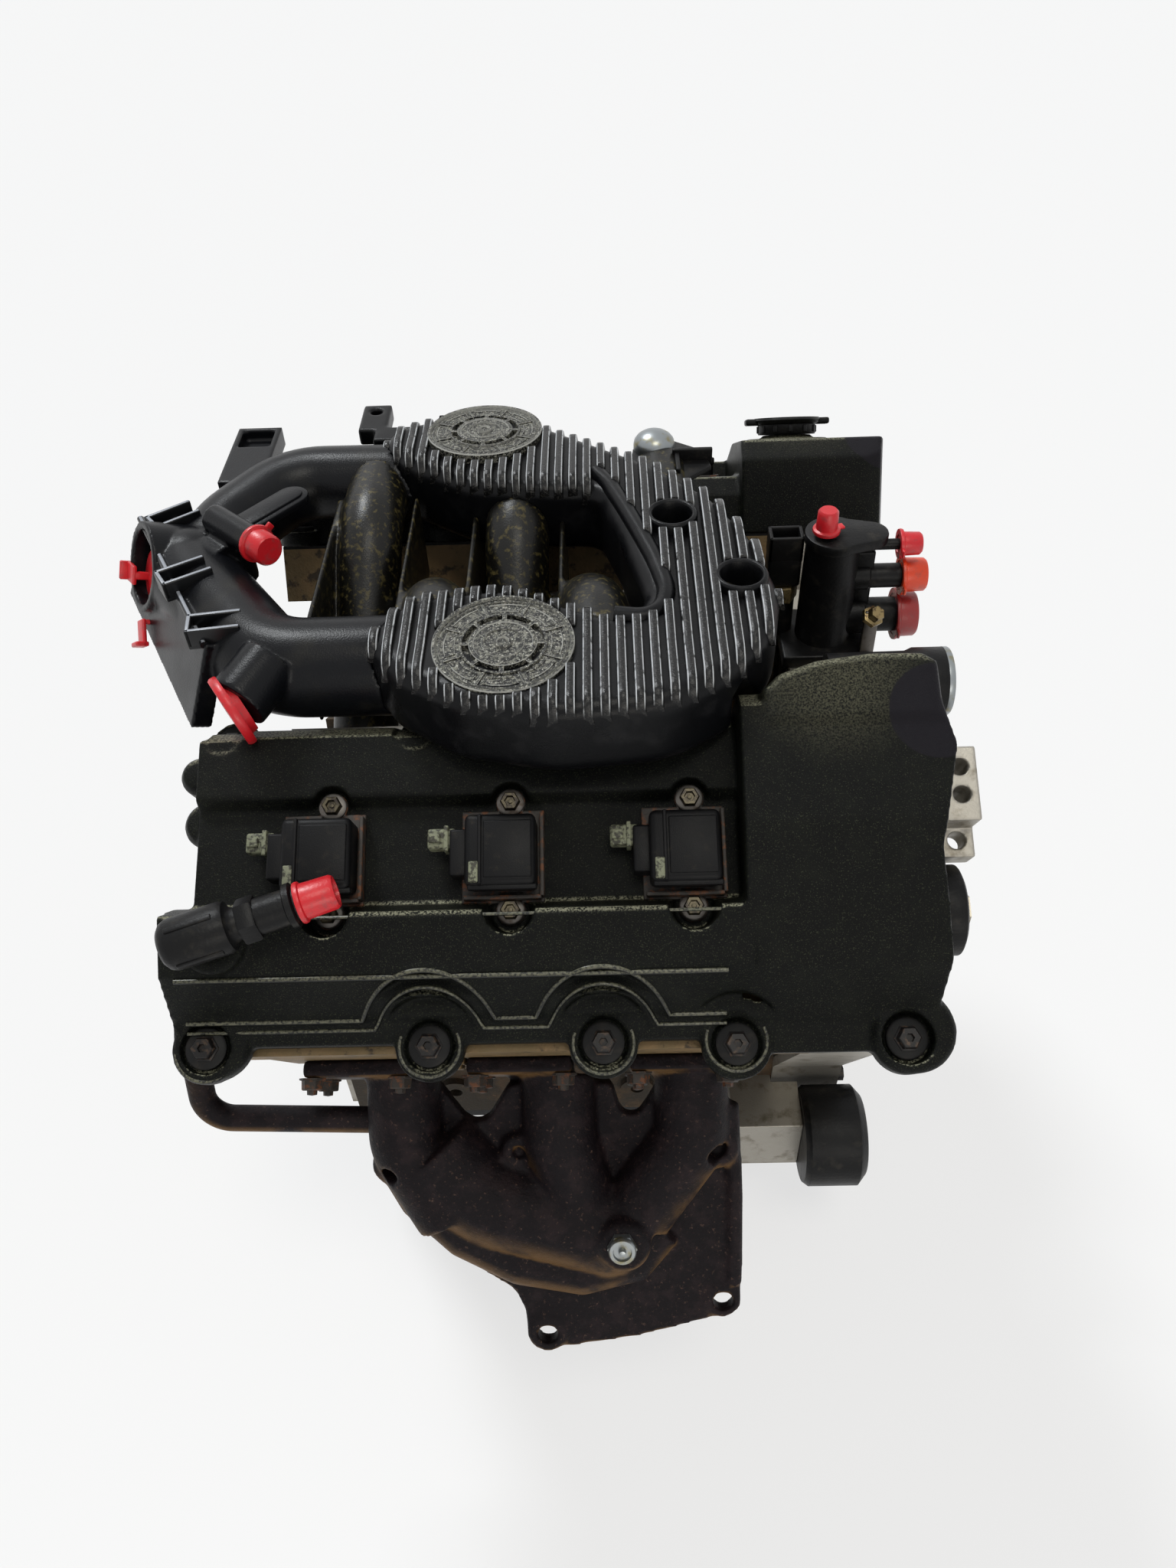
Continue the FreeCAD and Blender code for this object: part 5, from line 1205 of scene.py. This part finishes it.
def plate_place():
    """The leaning flange's own frame: X along it, Y through it, Z up its face."""
    return in_mm(Matrix.Translation(mm(-52, -30, 364)) @ turned(PLATE_TURN) @ turned(-PLATE_LEAN, "X"))


def add_clip(form, place, size, depth):
    """A U-shaped channel with its open side up: a floor, two long walls and one end wall."""
    length, width, height = size
    add_box(form, (length, width, 3), (0, 0, -depth), 0.7, place)
    for y in (-width / 2 + 1.4, width / 2 - 1.4):
        add_box(form, (length, 2.8, height), (0, y, height / 2 - depth), 0.8, place)
    add_box(form, (2.8, width, height), (-length / 2 + 1.4, 0, height / 2 - depth), 0.8, place)


def throttle_clips():
    """The clips on the leaning flange's upper edge and the two bars along it."""
    plate = plate_place()
    form = bmesh.new()
    for x, y, turn in ((-68, 12, 100), (4, 0, 94), (60, 2, 70)):
        spot = plate @ Matrix.Translation((x, y, 31)) @ turned(PLATE_LEAN, "X")
        add_clip(form, spot @ turned(turn), (30, 17, 11), 3)
    for y, radius in ((-6, 2.2), (6, 1.6)):
        add_tube(form, [(-80, y, 27), (-20, y, 27), (68, y, 27)], radius, plate, 10)
    piece("throttle_clips", form, LOOKS["clip"])


def port_flange():
    """An oval flange in two steps on top of the duct."""
    form = bmesh.new()
    oval = in_mm(Matrix.Translation(mm(-6, 38, 392)) @ turned(52))
    for radius, low, high, bevel in ((10.5, 0, 5, 1.2), (7, 4, 6.4, 0.8)):
        outline = circle(radius, 15, -24, 0, 90, 180) + circle(radius, 15, 24, 0, -90, 180)
        add_plate(form, outline, low, high, oval, bevel)
    piece("port_flange", form, LOOKS["duct"])


# Red caps

def cap_form(form, spot, radius, length):
    """A soft push-on cap with a flange and a tear tab, its mouth at Z 0."""
    flange = [(0, 0.6), (radius - 1.2, 0.6), (radius - 1, 0), (radius + 2, 0), (radius + 2.3, 1)]
    sleeve = [(radius + 0.4, 2.8), (radius, length - 1.4), (radius - 1.2, length), (0, length)]
    add_lathe(form, flange + [(radius + 2, 2.2)] + sleeve, spot, 36)
    add_box(form, (4, 5, 1.8), (radius + 3.4, 0, 1.1), 0.7, spot)


CAPS = [
    ("port_cap_top", (340, 11, 388), (0, 0, 1), 6.2, 15, "red_cap", 200),
    ("port_cap_small", (386, 15, 375), (1, 0, 0), 7, 14, "red_cap", 180),
    ("port_cap_middle", (390, 15, 352), (1, 0, 0), 10.4, 16, "orange_cap", 190),
    ("port_cap_large", (390, 15, 322), (1, 0, 0), 14.4, 14, "dark_red_cap", 190),
    ("duct_nipple_cap", (-1.5, -2.5, 400.5), (38, -38, 3), 9.4, 15, "red_cap", 30),
]


def stub_cap():
    """A wide flat cap in the duct's side stub."""
    form = bmesh.new()
    stub = aim((3, -124, 374), (-0.8, -0.52, -0.2))
    add_lathe(form, [(0, -7), (15, -7), (16, -3), (20, -3), (20.6, -2), (20.6, 0.6), (19.6, 2), (0, 2.4)],
              stub, 48)
    piece("stub_cap", form, LOOKS["red_cap"])


def throttle_cap():
    """A disc in the leaning flange's mouth with two bent tabs."""
    form = bmesh.new()
    mouth = plate_place() @ Matrix.Translation((-50, -8, 0)) @ turned(90, "X")
    add_plate(form, circle(20, 44), -9, -6, mouth, 0.8)
    for angle, reach in ((196, 20), (308, 33)):
        tab = mouth @ turned(angle)
        add_box(form, (17, 12, 2.6), (reach, 0, 2.4), 0.9, tab)
        add_box(form, (3, 12, 8), (reach + 7, 0, 4), 0.9, tab)
        add_box(form, (3, 5, 13), (reach - 7, 0, -3.4), 0.9, tab)
    piece("throttle_cap", form, LOOKS["red_cap"])


def shipping_caps():
    """The push-on caps, the first of which stands in for the frame's own."""
    for name, start, direction, radius, length, look, roll in CAPS:
        form = bmesh.new()
        cap_form(form, aim(start, direction, roll), radius, length)
        piece(name, form, LOOKS[look])
    stub_cap()
    throttle_cap()
    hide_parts("shipping_caps")


# Coolant outlet

TOWER = (346, 15)
SENSOR = (318, 23)


def coolant_tower():
    """The tower with an oval top, a web and three nozzles."""
    form = bmesh.new()
    tower = spot_at(*TOWER)
    add_lathe(form, [(0, 300), (20, 300), (20, 306), (17.6, 309), (16.6, 378), (0, 378)], tower, 48)
    add_box(form, (56, 52, 9), (0, 0, 304.5), 1.6, tower)
    rim = circle(18, 24, 0, 0, 55, 250) + circle(11, 16, 22, 0, -75, 150)
    add_plate(form, rim, 378, 385, tower, 1.3)
    add_lathe(form, [(0, 384), (4.2, 384), (4.2, 396), (3.6, 397), (0, 397)], spot_at(340, 11, 0), 24)
    for radius, z, reach in ((3.4, 375, 42), (7.6, 352, 44), (11, 322, 46)):
        nozzle = [(0, 0), (radius + 1.4, 0), (radius + 1, 24), (radius, 25), (radius, reach), (0, reach)]
        add_lathe(form, nozzle, aim((*TOWER, z), (1, 0, 0)), 32)
    add_box(form, (14, 5, 50), (20, 0, 346), 1.6, tower)
    obj = piece("coolant_tower", form, LOOKS["black_paint"])
    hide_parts("coolant_outlet")


def coolant_sensor():
    """A sensor's round foot, its square body and an open socket of four walls."""
    sensor = bmesh.new()
    spot = spot_at(*SENSOR)
    add_lathe(sensor, rod(308, 334, 9), spot, 30)
    add_box(sensor, (21, 15, 22), (0, 0, 355), 2.4, spot)
    for y in (-6.4, 6.4):
        add_box(sensor, (21, 2.2, 17), (0, y, 372), 0.7, spot)
    for x in (-9.4, 9.4):
        add_box(sensor, (2.2, 15, 17), (x, 0, 372), 0.7, spot)
    piece("coolant_sensor_body", sensor, LOOKS["black_paint"])


def coolant_brass():
    """The sensor's hexagon and a bolt beside the tower."""
    brass = bmesh.new()
    add_lathe(brass, [(0, 333), (10.4, 333), (10.4, 343), (9.6, 344), (0, 344)], spot_at(*SENSOR), 6)
    bolt = aim((372, -8, 338), (0.3, -0.5, 0.8))
    add_lathe(brass, [(0, -3), (7, -3), (7, 0), (5, 0.8), (5, 5), (4.4, 5.8), (0, 5.8)], bolt, 6)
    piece("coolant_brass", brass, LOOKS["brass"])


def coolant_bracket():
    bracket = bmesh.new()
    add_box(bracket, (9, 3, 34), (371, -7, 324), 0.8, spot_at())
    piece("coolant_bracket", bracket, LOOKS["dark_steel"])


def coolant_neck():
    """The inlet neck: black outside, a bright machined lip and a rusty throat."""
    spot = aim((333, -72, 338), (1, 0, 0))
    form = bmesh.new()
    add_lathe(form, [(17, 8), (17, 69), (17.8, 70), (19.2, 70), (20, 69), (20, 50), (18.2, 46), (17.8, 0),
                     (0, 0), (0, 6), (17, 8)], spot, 48)
    add_box(form, (40, 30, 22), (350, -57, 311), 2, spot_at())
    neck = piece("coolant_neck_casting", form, LOOKS["black_paint"])
    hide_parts("coolant_inlet_neck")
    lip = bmesh.new()
    add_lathe(lip, [(17.2, 68.5), (17.2, 70.4), (19.6, 70.4), (20.1, 69.6), (20.1, 67), (19, 66),
                    (17.2, 68.5)], spot, 48)
    piece("coolant_neck_lip", lip, LOOKS["silver"])
    throat = bmesh.new()
    add_lathe(throat, [(16.9, 10), (16.9, 68), (16.2, 68), (16, 12), (0, 11), (0, 9), (16.9, 10)], spot, 40)
    piece("coolant_neck_throat", throat, LOOKS["sooty"])


def filler_cap():
    """The oil filler cap: a bevelled disc with two lugs over a ribbed collar."""
    spot = bank_spot(FAR, 342, 0)
    form = bmesh.new()
    add_lathe(form, [(0, 392), (12.9, 392), (12.9, 402.4), (20.5, 402.4), (21, 403), (21, 409), (23.6, 410.4),
                     (24.6, 412.2), (23.6, 414), (10, 414), (9, 413.2), (0, 413.2)], spot, 56)
    for k in range(12):
        rib = spot @ turned(30 * k)
        add_box(form, (1.8, 3, 5), (21, 0, 406), 0.6, rib)
    for x in (-24.5, 24.5):
        add_box(form, (12, 13, 4.6), (x, 0, 411.4), 1.4, spot)
    add_box(form, (34, 5, 2.4), (0, 0, 413), 0.8, spot)
    obj = piece("filler_cap_moulding", form, LOOKS["black_paint"], "filler_cap")
    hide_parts("oil_filler_cap")


# Small pieces round the plenum and the heads

def plenum_bracket():
    """A dark bracket off the plenum's far edge with a bright dome on it."""
    flat = spot_at()
    form = bmesh.new()
    outline = [(222, 66), (250, 60), (276, 84), (272, 104), (252, 118), (234, 122), (226, 108)]
    add_plate(form, outline, 389, 393, flat, 1.0)
    add_box(form, (26, 3, 10), (264, 92, 396), 0.8, flat)
    add_box(form, (3, 24, 8), (254, 82, 395), 0.8, flat)
    add_plate(form, [(224, 60), (236, 56), (240, 76), (228, 80)], 376, 393, flat, 1.0)
    piece("plenum_bracket", form, LOOKS["black_paint"])
    dome = bmesh.new()
    profile = [(0, 0), (13.6, 0), (13.6, 3)]
    profile += [(13.6 * math.cos(a), 3 + 9 * math.sin(a)) for a in (0.3, 0.6, 0.9, 1.2, 1.45)] + [(0, 12)]
    add_lathe(dome, profile, spot_at(240, 108, 393), 40)
    piece("plenum_dome", dome, LOOKS["silver"])


def head_lugs(name):
    """Cast lugs with bolt holes between the exhaust ports, and the ports' studs with their nuts."""
    side = SIDES[name]
    shift = bank_shift(side)
    lugs, nuts = bmesh.new(), bmesh.new()
    for x in (100 + shift, 196 + shift):
        spot = bank_spot(side, x, 100, 0)
        add_box(lugs, (32, 5, 40), (0, 1.5, 254), 1.4, spot)
        add_box(lugs, (12, 7, 18), (-9, 3, 266), 1.4, spot)
        add_box(lugs, (9, 7, 14), (10, 3, 262), 1.4, spot)
        add_box(lugs, (26, 6, 8), (0, 2, 238), 1.4, spot)
    for i in range(3):
        for dx in (-26, 26):
            for up in (-20, 20):
                port = bank_spot(side, cylinder_x(side, i) + dx, PORT_OUT, PORT_UP + up)
                spot = port @ turned(-90, "X")
                add_lathe(nuts, [(0, 0), (8, 0), (8, 1), (6.6, 1.4), (6.4, 6.4), (5.6, 7), (3.2, 7), (3, 9.5),
                                 (0, 10)], spot, 6)
    piece(name + "_head_lugs", lugs, LOOKS["head"])
    piece(name + "_manifold_nuts", nuts, LOOKS["bracket"])


# Exhaust

MANIFOLD_SLOPE = 55.1
MANIFOLD_LUGS = ((-80, -54, 13, -8, 8), (116, -46, 14, -8, 8), (10, -171, 13, -9, 3), (119, -151, 12, -9, 2),
                 (-3, -46, 11, -6, 10))
MANIFOLD_HOLES = ((-80, -54, 5.5, 4), (116, -46, 6.5, 2), (10, -172, 6.4, -30), (120, -152, 6.4, -30),
                  (-3, -46, 4, 5))


def manifold_place(side):
    """A manifold's own frame: X along the crankshaft from the middle port, Y up its slope, Z out of it."""
    port = bank_matrix(NEAR, cylinder_x(side, 1), PORT_OUT, PORT_UP).to_translation()
    place = in_mm(Matrix.Translation(port) @ turned(MANIFOLD_SLOPE, "X"))
    if side == FAR:
        place = Matrix.Scale(-1, 4, Vector((0, 1, 0))) @ place
    return place


def manifold_extras(side):
    """The rounded lower edge of the log, its lugs and bosses, and the holes in them."""
    place = manifold_place(side)

    def extra(form):
        edge = [(-84, -50, 0), (-66, -76, 1), (-38, -99, 2), (-4, -116, 3), (34, -124, 4), (66, -118, 4),
                (84, -100, 2)]
        add_tube(form, edge, [10, 14, 17, 18, 17, 15, 12], place, 16)
        for x, y, radius, low, high in MANIFOLD_LUGS:
            add_lathe(form, [(0, low), (radius, low), (radius, high - 1.5), (radius - 2, high), (0, high)],
                      place @ Matrix.Translation((x, y, 0)), 32)
        add_tube(form, [(126, -20, 0), (128, -80, 0), (127, -140, 0)], 5, place, 12)
        boss = place @ Matrix.Translation((59, -95, 16))
        add_lathe(form, [(0, -4), (17, -4), (16, 16), (13, 20), (0, 20)], boss, 32)

    def carve(form):
        for x, y, radius, low in MANIFOLD_HOLES:
            add_lathe(form, rod(low, 60, radius), place @ Matrix.Translation((x, y, 0)), 28)
    return extra, carve


def exhaust(name):
    extra, carve = manifold_extras(SIDES[name])
    moulded(name + "_manifold_casting", [name + "_exhaust_manifold"], LOOKS["manifold"],
            1.6, easing=6, extra=extra, carve=carve)


def sensors():
    """The two sensors in their bosses: a hexagon, a crimped shell and a pin."""
    form = bmesh.new()
    for side in (NEAR, FAR):
        spot = manifold_place(side) @ Matrix.Translation((58, -92, 0))
        add_lathe(form, rod(34, 40, 8.8), spot, 6)
        add_lathe(form, [(0, 39), (8, 39), (8.3, 42), (7.4, 43.4), (5.6, 43.4), (5.2, 41.5), (2.4, 41.5),
                         (2, 45), (0, 45.4)], spot, 32)
    obj = piece("oxygen_sensor_shells", form, LOOKS["silver"])
    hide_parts("oxygen_sensors")


def ducts():
    """The duct, the runners and the front bracket, each melted into one moulding or casting."""
    moulded("throttle_duct_moulding", ["throttle_duct"], LOOKS["duct"], 1.2, easing=4)
    moulded("runner_moulding", ["intake_runners"], LOOKS["runner"], 1.4, easing=5)
    moulded("accessory_bracket_casting", ["accessory_bracket"], LOOKS["aluminium"], 0.9,
            easing=5, keep=0.6)


LOOKS = make_looks()
add_stage()
paint_nodes()
ease_node_edges()
plenum_chamber()
plenum_ribs()
plenum_rims()
for bank in SIDES:
    plenum_disc(bank)
    valve_cover(bank)
    cover_beads(bank)
    exhaust(bank)
    head_lugs(bank)
ducts()
for coil_number in range(1, 7):
    coil(coil_number)
coil_bolts()
cover_bolt_heads()
breather()
throttle_clips()
port_flange()
shipping_caps()
coolant_tower()
coolant_sensor()
coolant_brass()
coolant_bracket()
coolant_neck()
filler_cap()
plenum_bracket()
sensors()
